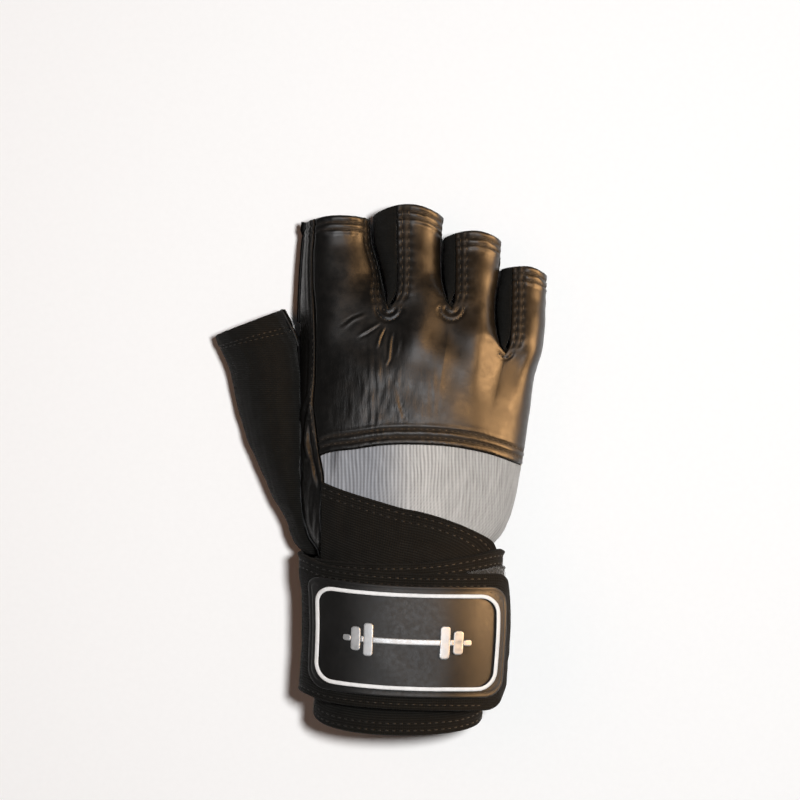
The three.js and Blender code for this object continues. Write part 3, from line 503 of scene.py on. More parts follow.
def shares(length, step, fine_start=True, fine_end=True):
    """Shares from 0 to 1 at even steps along a length, with closer ones beside its fine ends."""
    joined = np.linspace(0.0, 1.0, max(2, int(round(length / step)) + 1))
    fine, room = EDGE_STEPS / length, EDGE_ROOM / length
    if fine_start:
        joined = np.concatenate([joined[(joined == 0) | (joined > room)], fine])
    if fine_end:
        joined = np.concatenate([joined[(joined == 1) | (joined < 1 - room)], 1 - fine])
    return np.unique(joined)


# The soft noise is the mean of a few plane waves, whose pace varies round the given pitch
WAVES = 7
WAVE_PACE = (0.6, 1.5)
WAVE_HEIGHT = 0.8 / math.sqrt(WAVES)


def ripple(x, y, pitch_x, pitch_y, seed):
    """Soft noise from -1 to 1: the mean of seeded plane waves of about the given pitches."""
    draw = np.random.default_rng(seed)
    angle = draw.uniform(0, 2 * np.pi, WAVES)
    pace = draw.uniform(*WAVE_PACE, WAVES)
    phase = draw.uniform(0, 2 * np.pi, WAVES)
    waves = zip(pace * np.cos(angle) / pitch_x, pace * np.sin(angle) / pitch_y, phase)
    return WAVE_HEIGHT * sum(np.cos(2 * np.pi * (a * x + b * y) + c) for a, b, c in waves)


def running_length(points, axis=0):
    """Length along rows of points, from the first of them to each."""
    steps = np.linalg.norm(np.diff(points, axis=axis), axis=-1)
    start = np.zeros_like(np.take(steps, [0], axis))
    return np.concatenate([start, np.cumsum(steps, axis)], axis)


def places_along(line, reach, goals):
    """Places on a line of points where its reach has the goals, straight between two points."""
    return np.stack([np.interp(goals, reach, column) for column in line.T], -1)


def path_field(x, y, path):
    """Signed distance from a chain of straight stretches, and the share of its length at the foot."""
    corners = np.array(path, dtype=float)
    starts = running_length(corners)
    best = np.full(np.shape(x), np.inf)
    side = np.zeros(np.shape(x))
    along = np.zeros(np.shape(x))
    for k, length in enumerate(np.diff(starts)):
        (ax, ay), (bx, by) = corners[k], corners[k + 1]
        ux, uy = (bx - ax) / length, (by - ay) / length
        reach = np.clip((x - ax) * ux + (y - ay) * uy, 0.0, length)
        away = np.hypot(x - ax - reach * ux, y - ay - reach * uy)
        nearer = away < best
        best = np.where(nearer, away, best)
        side = np.where(nearer, np.sign((x - ax) * uy - (y - ay) * ux), side)
        along = np.where(nearer, (starts[k] + reach) / starts[-1], along)
    return best * side, along


# A crease's lip beside its valley, and both their breadths, in shares of the crease's width
LIP_PLACE = 1.35
LIP_BREADTH = 1.1
VALLEY_BREADTH = 0.7


def crease_relief(x, y, creases):
    """Sum of creases: each a valley on its line with a lip beside it, a parabola from end to end."""
    total = np.zeros(np.shape(x))
    for crease in creases:
        away, along = path_field(x, y, crease["path"])
        away, fade = away / crease["width"], 4 * along * (1 - along)
        lip = ridge(away - LIP_PLACE, LIP_BREADTH)
        total += crease["depth"] * fade * (lip - ridge(away, VALLEY_BREADTH))
    return total


def grooves(distance, rows, width):
    """Sum of ridges along rows at their distances, taken off a relief as sewn grooves."""
    return sum(ridge(distance - row, width) for row in rows)


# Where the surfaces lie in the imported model's frame, from two of its outer faces
SHIFT = np.array(
    [
        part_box("palm_panel")[1][0] / MM - HAND["right"].max() * KNUCKLE_BREADTH,
        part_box("back_panel")[1][1] / MM - place_y(1.0),
        0.0,
    ]
)


def unit(vectors):
    """Vectors brought to length one, those of no length left as they are."""
    lengths = np.linalg.norm(vectors, axis=1)
    return vectors / np.where(lengths > 0, lengths, 1)[:, None]


def along_face(vectors, normals):
    """Unit directions of vectors once their part along the normals is taken off."""
    return unit(vectors - normals * (vectors * normals).sum(1)[:, None])


class Skin:
    """A welded surface of point grids, with a wall and named fields at each point."""

    WELDS_PER_MM = 500
    ROLL_LIMIT = 0.85
    POINTS_AT_ONCE = 4000

    def __init__(self):
        self.points, self.walls, self.faces, self.fields = [], [], [], {}
        self.count = 0

    def add(self, points, wall, flip=False, **fields):
        """Adds a grid of rows and columns of points; flip turns its faces over."""
        rows, columns = points.shape[:2]
        ids = np.arange(rows * columns).reshape(rows, columns) + self.count
        a, b, c, d = ids[:-1, :-1], ids[:-1, 1:], ids[1:, 1:], ids[1:, :-1]
        corners = (a, d, c, b) if flip else (a, b, c, d)
        a, b, c, d = (corner.ravel() for corner in corners)
        self.faces += [np.stack([a, b, c], 1), np.stack([a, c, d], 1)]
        self.points.append(points.reshape(-1, 3))
        self.walls.append(np.broadcast_to(wall, (rows, columns)).ravel())
        for name, values in fields.items():
            shaped = np.broadcast_to(values, (rows, columns)).ravel()
            self.fields.setdefault(name, []).append(shaped)
        self.count += rows * columns
        return self

    def weld(self):
        """Joins points at the same place, drops empty faces, and finds the normals and the rim."""
        points = np.concatenate(self.points)
        cells = np.round(points * self.WELDS_PER_MM).astype(np.int64)
        _, first, index = np.unique(cells, axis=0, return_index=True, return_inverse=True)
        index = index.ravel()
        self.points = points[first]
        self.walls = np.concatenate(self.walls)[first]
        self.fields = {name: np.concatenate(parts)[first] for name, parts in self.fields.items()}
        faces = index[np.concatenate(self.faces)]
        self.faces = faces[(faces != np.roll(faces, 1, axis=1)).all(1)]
        self.normals = self.find_normals(self.points)
        edges = np.concatenate([self.faces[:, [0, 1]], self.faces[:, [1, 2]], self.faces[:, [2, 0]]])
        size = len(self.points)
        forward = edges[:, 0] * size + edges[:, 1]
        backward = edges[:, 1] * size + edges[:, 0]
        self.rim = edges[~np.isin(backward, forward)]
        self.edge = self.rim_distance()
        return self

    def find_normals(self, points):
        """Mean of the faces' cross products round each point."""
        a, b, c = (points[self.faces[:, k]] for k in range(3))
        cross = np.cross(b - a, c - a)
        normals = np.zeros_like(points)
        for k in range(3):
            np.add.at(normals, self.faces[:, k], cross)
        return unit(normals)

    def rim_distance(self):
        """Distance of each point from the nearest point on the rim."""
        rim = self.points[np.unique(self.rim)]
        rim_square = (rim**2).sum(1)
        nearest = []
        for start in range(0, len(self.points), self.POINTS_AT_ONCE):
            part = self.points[start : start + self.POINTS_AT_ONCE]
            square = (part**2).sum(1)[:, None] + rim_square[None] - 2 * part @ rim.T
            nearest.append(square.min(1))
        return np.sqrt(np.maximum(0, np.concatenate(nearest)))

    def shape(self, relief=0.0, roll=0.5):
        """Lifts the outer face by its relief and rolls its rim down as a quarter round."""
        into = np.clip(roll - self.edge, 0, None)
        drop = roll - np.sqrt(np.maximum(0, roll**2 - into**2))
        drop = np.minimum(drop, self.ROLL_LIMIT * roll)
        self.outer = self.points + self.normals * (relief - drop)[:, None]
        self.inner = self.points - self.normals * (self.walls - drop / 2)[:, None]
        self.outer_normals = self.find_normals(self.outer)
        return self

    def press(self, roll):
        """Shapes the skin by its own field of relief."""
        return self.shape(self.fields.pop("relief"), roll)

    def solid(self):
        """Points and faces of the closed wall between the outer and the inner face."""
        count = len(self.points)
        points = np.concatenate([self.outer, self.inner])
        inner_faces = self.faces[:, ::-1] + count
        a, b = self.rim[:, 0], self.rim[:, 1]
        rim_faces = np.concatenate([np.stack([b, a, a + count], 1), np.stack([b, a + count, b + count], 1)])
        return points, np.concatenate([self.faces, inner_faces, rim_faces])

    def settle(self, places, rise=0.0):
        """Puts places onto the outer face, along the normal of the nearest point of it."""
        square = (self.outer**2).sum(1)[None] - 2 * places @ self.outer.T
        nearest = square.argmin(1)
        normals = self.outer_normals[nearest]
        depth = ((self.outer[nearest] - places) * normals).sum(1) + rise
        return places + normals * depth[:, None], normals


def add_object(name, points, faces, material, slot, nodes=(), fields=None):
    """A piece in the frame's metres that rides on the glove and stands for its nodes."""
    mesh = bpy.data.meshes.new(name)
    mesh.from_pydata(((points + SHIFT) * MM).tolist(), [], faces.tolist())
    for field, values in (fields or {}).items():
        if values.ndim == 2:
            layer = mesh.attributes.new(field, "FLOAT_VECTOR", "POINT")
            layer.data.foreach_set("vector", values.astype(np.float32).ravel())
        else:
            layer = mesh.attributes.new(field, "FLOAT", "POINT")
            layer.data.foreach_set("value", values.astype(np.float32))
    mesh.polygons.foreach_set("use_smooth", np.ones(len(faces), dtype=bool))
    mesh.materials.append(material)
    mesh.update()
    piece = bpy.data.objects.new(name, mesh)
    bpy.context.scene.collection.objects.link(piece)
    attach(piece, BODY)
    if nodes:
        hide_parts(*nodes)
    return piece


def add_skin(name, skin, material, slot, node):
    """A closed wall from a skin, with its place on the cloth, u and v, and its other fields."""
    points, faces = skin.solid()
    fields = {key: np.tile(values, 2) for key, values in skin.fields.items() if key not in ("u", "v")}
    if "u" in skin.fields:
        place = np.stack([skin.fields["u"], skin.fields["v"], np.zeros(len(skin.points))], 1)
        fields["cloth"] = np.tile(place, (2, 1))
    return add_object(name, points, faces, material, slot, (node,), fields)


def even_line(line, step):
    """Points along a line of points at even steps."""
    reach = running_length(line)
    count = max(2, int(round(reach[-1] / step)) + 1)
    return places_along(line, reach, np.linspace(0.0, reach[-1], count))


def resample_rows(lines, goals, trim_start, trim_end):
    """Each row of points again, at shares of its own length, leaving out a stretch at each end."""
    rows = []
    for line, start, end in np.broadcast(np.arange(len(lines)), trim_start, trim_end):
        reach = running_length(lines[line])
        rows.append(places_along(lines[line], reach, mix(start, reach[-1] - end, goals)))
    return np.stack(rows)


def level_line(points, field, value):
    """The line across a grid where a field that rises or falls along each column has a value."""
    over = field > value
    change = over[1:] != over[:-1]
    row = change.argmax(0)
    has = change.any(0)
    columns = np.arange(points.shape[1])
    low, high = field[row, columns], field[row + 1, columns]
    t = np.clip((value - low) / np.where(high == low, 1, high - low), 0, 1)[:, None]
    line = mix(points[row, columns], points[row + 1, columns], t)
    return line[has]


class Threads:
    """Stitches laid on skins and joined into one piece, each a short thread that dips at its ends."""

    RINGS = table(
        "along wide",
        (-1.00, 0.30),
        (-0.82, 0.80),
        (-0.40, 1.00),
        (0.00, 1.00),
        (0.40, 1.00),
        (0.82, 0.80),
        (1.00, 0.30),
    )
    SIDES = 6
    FLATNESS = 0.8
    POINT_REACH = 1.06

    def __init__(self):
        self.points, self.faces, self.count = [], [], 0

    def sew(self, skin, line, look):
        """Stitches along a line, one in the middle of each step of their pitch."""
        if len(line) < 2:
            return self
        holes = even_line(line, look["pitch"])
        centres = (holes[1:] + holes[:-1]) / 2
        ahead = np.gradient(centres, axis=0) if len(centres) > 1 else line[-1:] - line[:1]
        return self.sew_at(skin, centres, ahead, look)

    def sew_between(self, skin, line, look):
        """Stitches over the puffs of a ladder, between holes that lie at multiples of its pitch."""
        line = line[np.argsort(line[:, 1])]
        pitch = look["pitch"]
        first, last = np.ceil(line[0, 1] / pitch), np.floor(line[-1, 1] / pitch)
        levels = (np.arange(first, last) + 0.5) * pitch
        if not len(levels):
            return self
        before, after = (places_along(line, line[:, 1], levels + step) for step in (-0.5, 0.5))
        return self.sew_at(skin, (before + after) / 2, after - before, look)

    def sew_at(self, skin, centres, ahead, look):
        """Stitches settled on a skin at their centres."""
        places, normals = skin.settle(centres, look["rise"])
        reach = look["pitch"] * look["cover"] / 2
        return self.lay(places, along_face(ahead, normals), normals, reach, look["thick"], look["dip"])

    def lay(self, places, ahead, normals, reach, thick, dip):
        """Closed threads of rings and two end points, along ahead, dipping by a fourth power."""
        angle = np.arange(self.SIDES) * 2 * np.pi / self.SIDES
        along, wide = self.RINGS["along"], self.RINGS["wide"]
        tip = self.POINT_REACH * reach
        dips = dip * np.repeat(along**4, self.SIDES)
        u = np.concatenate([np.repeat(along, self.SIDES) * reach, [-tip, tip]])
        side = np.append((wide[:, None] * np.cos(angle)).ravel() * thick, [0.0, 0.0])
        up = np.append((wide[:, None] * np.sin(angle)).ravel() * thick * self.FLATNESS - dips, [-dip, -dip])
        axes = ((ahead, u), (np.cross(normals, ahead), side), (normals, up))
        points = places[:, None] + sum(axis[:, None] * far[None, :, None] for axis, far in axes)
        rings = len(along)
        ids = np.arange(rings * self.SIDES).reshape(rings, self.SIDES)
        after = np.roll(ids, -1, axis=1)
        a, b, c, d = ids[:-1].ravel(), ids[1:].ravel(), after[1:].ravel(), after[:-1].ravel()
        start, end = np.full((2, self.SIDES), rings * self.SIDES) + [[0], [1]]
        caps = [np.stack([start, ids[0], after[0]], 1), np.stack([end, after[-1], ids[-1]], 1)]
        faces = np.concatenate([np.stack([a, b, c], 1), np.stack([a, c, d], 1), *caps])
        size = points.shape[1]
        shifts = np.arange(len(points))[:, None, None] * size + self.count
        self.points.append(points.reshape(-1, 3))
        self.faces.append((faces[None] + shifts).reshape(-1, 3))
        self.count += points.shape[0] * size
        return self

    def piece(self, name, material, slot):
        """The joined threads as one piece."""
        return add_object(name, np.concatenate(self.points), np.concatenate(self.faces), material, slot)


FINGER_BREADTH = 26.0
SETTLING = 14
SIDE_SETTLING = 10
ROUGH_REACH = 0.2
LITTLE_CROTCH, MAIN_CROTCH = CROTCHES[2], CROTCHES[0]


def own_crotch(i):
    """Level of the crotch from which finger i stands alone."""
    return MAIN_CROTCH if i < FINGERS - 1 else LITTLE_CROTCH


def level_rows(i, step, foot_level):
    """Rows of a finger's strip, in stretches and shares: to the little crotch, the others, the hem."""
    first = shares((LITTLE_CROTCH - foot_level) * GLOVE_LENGTH, step, fine_end=False)
    rows = [(0, t) for t in first]
    if i < FINGERS - 1:
        between = shares((MAIN_CROTCH - LITTLE_CROTCH) * GLOVE_LENGTH, step, False, False)
        rows += [(1, t) for t in between[1:]]
    length = (STALLS["hem_mid"][i] - own_crotch(i)) * GLOVE_LENGTH
    rows += [(2, t) for t in shares(length, step, False)[1:]]
    return np.array(rows)


def finger_strip(i, step, foot, foot_level, bounds, height, power):
    """A finger's grid of a panel: levels and places across it settle each other in a few passes."""
    rows = level_rows(i, step, foot_level)
    stretch, part = rows[:, :1], rows[:, 1:]
    t = shares(FINGER_BREADTH, step)[None]
    v = foot_level + ROUGH_REACH * part + 0 * t
    for _ in range(SETTLING):
        left, right = finger_sides(i, v)
        x = spread(*bounds(i, v), left, right, power, t)
        to_hem = mix(own_crotch(i), hem_at(i, share_across(x, left, right)), part)
        foot_part, web_part = mix(foot(x), LITTLE_CROTCH, part), mix(LITTLE_CROTCH, MAIN_CROTCH, part)
        v = np.where(stretch == 0, foot_part, np.where(stretch == 1, web_part, to_hem))
    hem = place_y(hem_at(i, share_across(x, *finger_sides(i, v)))) - place_y(v)
    rise = place_y(v) - place_y(foot(x))
    return {"points": np.stack([x, place_y(v), height(i, x, v)], 2), "v": v, "hem": hem, "rise": rise}


LEATHER_TURN = 0.03
FRONT_TUCK = 3.4
HEM_SLOPE = 0.4 * HEM_ROW


def leather_foot(x):
    """Level of the knuckle leather's lower edge."""
    return lower_edge(x / KNUCKLE_BREADTH)


def side_seam(v):
    """The seam between the knuckle leather and the side strip."""
    return seam_across(v) * KNUCKLE_BREADTH


def back_bounds(i, v):
    """Borders of the knuckle leather on finger i."""
    left, right = finger_sides(i, v)
    turn = (right - left) * 0.5 * LEATHER_TURN
    low = side_seam(v) + SEAM_GAP if i == 0 else seam_x(i - 1, v)
    return low, right if i == FINGERS - 1 else right - opening(i, v) * turn


def front_bounds(i, v):
    """Borders of the palm leather on finger i, tucked in beside the finger gaps."""
    left, right = finger_sides(i, v)
    low = left if i == 0 else left + FRONT_TUCK * opening(i - 1, v)
    return low, right if i == FINGERS - 1 else right - FRONT_TUCK * opening(i, v)


def hem_wall(wall, hem, row=HEM_ROW):
    """Thickness of a wall that is turned double along its hem."""
    return wall + HEM_FOLD * ease((row - hem) / HEM_SLOPE)


# Rows of stitches, as distances from their seam, hem or edge
SEAM_ROWS = (2.1, 4.5)
HEM_ROWS = (2.5, 5.1)
FOOT_ROWS = (2.6, 5.5)
THUMB_ROWS = (4.6, 5.8)
CUFF_ROWS = (1.8, 4.4)
STRAP_ROWS = (2.0, 4.6)
SIDE_ROW = 1.0
PATCH_ROW = 1.7

# The stitches of each row: their pitch, the share of it that a thread covers, half its thickness, how
# far it stands out, and how deep its ends dip. A ladder's pitch is its gather's own
STITCHES = looks(
    "pitch cover thick rise dip",
    hem=(2.5, 0.72, 0.20, -0.02, 0.35),
    foot=(2.3, 0.74, 0.24, 0.00, 0.35),
    ladder=(3.0, 0.72, 0.24, 0.02, 0.45),
    bow=(1.9, 0.76, 0.26, 0.04, 0.35),
    palm_hem=(2.5, 0.72, 0.18, -0.06, 0.35),
    side_seam=(2.6, 0.70, 0.18, -0.02, 0.35),
    thumb=(2.2, 0.75, 0.20, 0.00, 0.35),
    cuff=(2.6, 0.72, 0.22, 0.00, 0.35),
    strap=(2.8, 0.70, 0.22, 0.00, 0.35),
    patch=(2.4, 0.72, 0.20, -0.06, 0.35),
)

# How the leather is gathered on a finger's left or right side beside a gap: the pitch of its stitches,
# the reach and depth of its puckers, and whether both sewn rows show
FAR = 99.0
LEFT, RIGHT = 0, 1
GATHERS = tuple(
    dict(zip(("finger", "side", "gap", "pitch", "reach", "depth", "rows"), row))
    for row in (
        (0, RIGHT, 0, 2.8, 6.0, 0.52, True),
        (1, LEFT, 0, 3.3, 8.5, 0.55, True),
        (1, RIGHT, 1, 3.1, 3.0, 0.14, False),
        (2, LEFT, 1, 3.3, 8.5, 0.55, True),
        (2, RIGHT, 2, 3.0, 3.0, 0.14, False),
        (3, LEFT, 2, 3.2, 7.0, 0.50, True),
    )
)
HOLE_SHARPNESS = 5
LADDER_GROOVE = 0.42
LADDER_WIDTH = 0.55
PIT_WIDTH = 0.72


def pinch(y, pitch, sharpness):
    """Dips at even steps, one for each stitch hole: 1 in a hole, 0 on the puff between two."""
    return np.abs(np.cos(np.pi * y / pitch)) ** sharpness


def gather_relief(away, above, y, gather, seed):
    """A ladder beside a seam: holes pulled down along each sewn row, and puffs that fade outwards."""
    hole = pinch(y, gather["pitch"], HOLE_SHARPNESS)
    uneven = 0.8 + 0.3 * ripple(y, away, 9.0, 9.0, seed)
    fade = ease((gather["reach"] - away) / (gather["reach"] - 1.0))
    total = -gather["depth"] * (0.62 * hole - 0.22) * fade * uneven
    if gather["rows"]:
        sewn = grooves(away, SEAM_ROWS, LADDER_WIDTH)
        total = total - LADDER_GROOVE * sewn * mix(0.45, 1.0, hole)
    return total * ease(above / 4.0)


def gather_pit_shade(away, above, y, gather):
    """Mask of painted shade in a ladder, which also roughens it: 1 in the holes of its sewn rows, less on
    the line between the rows.
    """
    if not gather["rows"]:
        return np.zeros(away.shape)
    pit_shade = grooves(away, SEAM_ROWS, PIT_WIDTH) * mix(0.15, 1.0, pinch(y, gather["pitch"], 2))
    between = 0.45 * ridge(away - sum(SEAM_ROWS) / 2, 0.35) + 0.5 * ridge(away, 0.5)
    return np.clip(pit_shade + between, 0, 1) * ease((above + 1.0) / 2.0)


# The leather's turned hem and lower edge: how far each reaches, its height, its grooves' depth and width
HEM_REACH, HEM_RISE, HEM_GROOVE, HEM_WIDTH = 7.2, 0.35, 0.42, 0.42
FOOT_REACH, FOOT_RISE, FOOT_GROOVE, FOOT_WIDTH = 7.6, 0.16, 0.55, 0.5


def hem_relief(hem, x, seed):
    """A turned hem: a rise over the fold, with two sewn grooves that wander a little across it."""
    wander = 0.10 * ripple(x, x, 6.0, 6.0, seed)
    uneven = 0.08 * ripple(x, hem, 3.2, 6.0, seed + 1) * ease((9 - hem) / 3)
    fold = HEM_RISE * ease((HEM_REACH - hem) / 1.2)
    return fold + uneven - HEM_GROOVE * grooves(hem - wander, HEM_ROWS, HEM_WIDTH)


def foot_relief(foot, x, seed):
    """The knuckle leather's lower edge: two sewn grooves with a raised band between them."""
    uneven = 0.05 * ripple(x, foot, 1.8, 4.0, seed) * ease((9 - foot) / 4)
    return FOOT_RISE * ease(FOOT_REACH - foot) - FOOT_GROOVE * grooves(foot, FOOT_ROWS, FOOT_WIDTH) + uneven


# The bows round the foot of each crotch: how many show, their half widths and heights beside their row
BOWS = (2, 2, 1)
BOW_SPREAD = 0.6
BOW_WIDTH = 0.9
BOW_HEIGHT = 1.05
BOW_GROOVE = 0.34


def bow_relief(x, y):
    """Half rings pressed in round the foot of each crotch, where the gap's sewn rows meet."""
    total = np.zeros(x.shape)
    for j, count in enumerate(BOWS):
        middle, crotch = gap_line(j, CROTCHES[j]), place_y(CROTCHES[j])
        below = ease((crotch + 1.0 - y) / 1.5)
        for row in SEAM_ROWS[:count]:
            across, along = (x - middle) / (BOW_SPREAD + BOW_WIDTH * row), (y - crotch) / (BOW_HEIGHT * row)
            total -= BOW_GROOVE * below * ridge((np.hypot(across, along) - 1.0) * row, 0.5)
    return total


SOFTENING = 40
SOFT_REACH = 5.0


def soften_levels(points, arc):
    """Rounds off the bend that each crotch's level leaves, but not at a strip's edges."""
    weight = sum(ridge(points[..., 1] - place_y(crotch), SOFT_REACH) for crotch in CROTCHES)
    weight = np.clip(weight, 0, 1) * ease(np.minimum(arc, arc[:, -1:] - arc) / 2.0)
    weight = weight[1:-1, :, None]
    soft = points.copy()
    for _ in range(SOFTENING):
        soft[1:-1] = mix(soft[1:-1], (soft[:-2] + 2 * soft[1:-1] + soft[2:]) / 4, weight)
    return soft


def make_knuckle_leather(step=0.62):
    """Back leather: four strips welded below the crotches, with hems, gathers, creases and wrinkles."""
    skin, strips = Skin(), []
    for i in range(FINGERS):
        strip = finger_strip(i, step, leather_foot, 0.54, back_bounds, back_height, UPPER_ROUND)
        arc = running_length(strip["points"], 1)
        points = soften_levels(strip["points"], arc)
        strips.append({**strip, "points": points, "arc": arc})
        x, y, hem, rise = points[..., 0], points[..., 1], strip["hem"], strip["rise"]
        relief = hem_relief(hem, x, seed=60 + i)
        # The pit field marks the stitch holes and sewn grooves, where the leather's colour is kept black as
        # painted shade and its gloss is made rougher
        pit_shade = np.maximum(0.85 * grooves(hem, HEM_ROWS, 0.34), grooves(rise, FOOT_ROWS, 0.42))
        for n, gather in enumerate(GATHERS):
            if gather["finger"] == i:
                away = arc if gather["side"] == LEFT else arc[:, -1:] - arc
                above = y_above(strip["v"], gather["gap"])
                relief += gather_relief(away, above, y, gather, seed=40 + n)
                pit_shade = np.maximum(pit_shade, gather_pit_shade(away, above, y, gather))
        # The leather's lower edge is cut a little ragged
        ragged = 0.16 * ripple(x, x, 2.1, 2.1, seed=71) * ease((1.6 - rise) / 1.6)
        cut = points + ragged[..., None] * np.array([0.0, 1.0, 0.0])
        cloth = {"u": cut[..., 0], "v": cut[..., 1]}
        skin.add(cut, hem_wall(LEATHER_WALL, hem), relief=relief, hem=hem, rise=rise, pit=pit_shade, **cloth)
    skin.weld()
    x, y, fields = skin.points[:, 0], skin.points[:, 1], skin.fields
    hem, rise = fields.pop("hem"), fields.pop("rise")
    fields["relief"] += foot_relief(rise, x, seed=72) + crease_relief(x, y, CREASES) + bow_relief(x, y)
    # Fine lengthwise wrinkles over the lower middle, and a slow unevenness everywhere
    inner = ease((rise - 5.5) / 4) * ease((hem - 7) / 5)
    middle = ridge(x + 1.5, 17.0) * ridge(y - 25.0, 17.0)
    wrinkles = 0.045 * ripple(x, y, 2.1, 10.0, seed=73) + 0.09 * ripple(x, y, 3.8, 17.0, seed=74)
    fields["relief"] += inner * (middle * wrinkles + 0.16 * ripple(x, y, 14.0, 17.0, seed=75))
    return skin.press(np.where(y > place_y(LITTLE_CROTCH), 0.75, 0.5)), strips


def y_above(v, gap):
    """How far levels lie above a gap's crotch."""
    return place_y(v) - place_y(CROTCHES[gap])


def seam_line(strip, gather, away):
    """A sewn row on a finger's leather: the places at a distance from its seam, above the crotch."""
    arc = strip["arc"] if gather["side"] == LEFT else strip["arc"][:, -1:] - strip["arc"]
    above = strip["v"][:, strip["v"].shape[1] // 2] > CROTCHES[gather["gap"]] + 0.004
    return level_line(strip["points"][above].transpose(1, 0, 2), arc[above].T, away)


def bow_line(j, row):
    """A bow's stitches: half an ellipse below crotch j and a little beyond, laid on the back."""
    turn = np.linspace(-0.05 * np.pi, 1.05 * np.pi, 24)
    x = gap_line(j, CROTCHES[j]) - (BOW_SPREAD + BOW_WIDTH * row) * np.cos(turn)
    y = place_y(CROTCHES[j]) - BOW_HEIGHT * row * np.sin(turn)
    return np.stack([x, y, back_height(j, x, np.minimum(y / GLOVE_LENGTH + 0.5, CROTCHES[j]))], 1)


def sew_knuckle_leather(skin, strips):
    """Stitches of the knuckle leather: hems, lower edge, gap seams and the bow under each crotch."""
    threads = Threads()
    for strip in strips:
        for row in HEM_ROWS:
            threads.sew(skin, level_line(strip["points"], strip["hem"], row)[3:-3], STITCHES["hem"])
    for row in FOOT_ROWS:
        line = np.concatenate([level_line(strip["points"], strip["rise"], row) for strip in strips])
        threads.sew(skin, line[2:], STITCHES["foot"])
    for gather in GATHERS:
        for row in SEAM_ROWS if gather["rows"] else ():
            line = seam_line(strips[gather["finger"]], gather, row)
            threads.sew_between(skin, line, {**STITCHES["ladder"], "pitch": gather["pitch"]})
    for j, count in enumerate(BOWS):
        for row in SEAM_ROWS[:count]:
            threads.sew(skin, bow_line(j, row), STITCHES["bow"])
    return threads


def make_palm_leather(step=1.0):
    """Palm leather: four strips welded below the crotches, plain, with hems and faint creases."""
    skin, strips = Skin(), []
    for i in range(FINGERS):
        strip = finger_strip(
            i, step, lambda x: PANEL_FOOT + 0 * x, PANEL_FOOT, front_bounds, front_height, UNDER_ROUND
        )
        points, hem = strip["points"], strip["hem"]
        strips.append(strip)
        wall = hem_wall(LEATHER_WALL, hem)
        skin.add(points, wall, flip=True, hem=hem, u=points[..., 0], v=points[..., 1])
    skin.weld()
    x, y, z = skin.points.T
    free = ease((z - 0.4) / 1.6)
    relief = -0.30 * grooves(skin.fields.pop("hem"), HEM_ROWS, 0.5) * mix(0.25, 1.0, free)
    relief += 0.10 * free * (ripple(x, y, 9.0, 12.0, seed=80) + ripple(x, y, 16.0, 4.0, seed=81))
    return skin.shape(np.minimum(relief, 0.25), 0.55), strips


SIDE_BREADTH = 18.0


def make_side_leather(step=0.6):
    """Folded leather edge on the index side, with pleats that run to the wrist."""
    top = STALLS["hem_left"][0]
    rows = shares((top - PANEL_FOOT) * GLOVE_LENGTH, step)[:, None]
    columns = shares(SIDE_BREADTH, step)[None]
    v = mix(PANEL_FOOT, top, rows) + 0 * columns
    left, right = finger_sides(0, v)
    x = spread(left, side_seam(v) - SEAM_GAP, left, right, UPPER_ROUND, columns)
    # The last tenth of its length is drawn out to the index stall's hem
    to_stall = (hem_at(0, share_across(x, left, right)) - top) * GLOVE_LENGTH
    y = place_y(v) + to_stall * ease((rows - 0.9) / 0.1)
    z = back_height(0, x, v) + np.where(columns == 0, SIDE_GAP, 0.0)
    points = np.stack([x, y, z], 2)
    to_hem = points[-1:, :, 1] - y
    arc = running_length(points, 1)
    from_seam = arc[:, -1:] - arc
    beside = 0.12 * ridge(from_seam - 2.1, 0.5) - 0.18 * ridge(from_seam - 3.6, 0.4)
    relief = hem_relief(to_hem, x, seed=90) + crease_relief(x, y, SIDE_FOLDS)
    relief += ease((y - 20) / 12) * (beside - 0.26 * ridge(from_seam - SIDE_ROW, 0.35))
    pleats = 0.30 * ripple(x, y, 2.8, 26.0, seed=91) + 0.08 * ripple(x, y, 1.6, 14.0, seed=92)
    relief += ease((26 - y) / 30) * pleats
    skin = Skin().add(points, hem_wall(LEATHER_WALL, to_hem), relief=relief, u=x, v=y).weld()
    return skin.press(0.55), points, to_hem


GREY_TOP = 0.535
GREY_GUESS = 0.52
POINTS_TO_A_RIB = 6
GREY_FOLD = ((-16.6, 9.0), (-17.4, 3.0), (-18.0, -6.5))


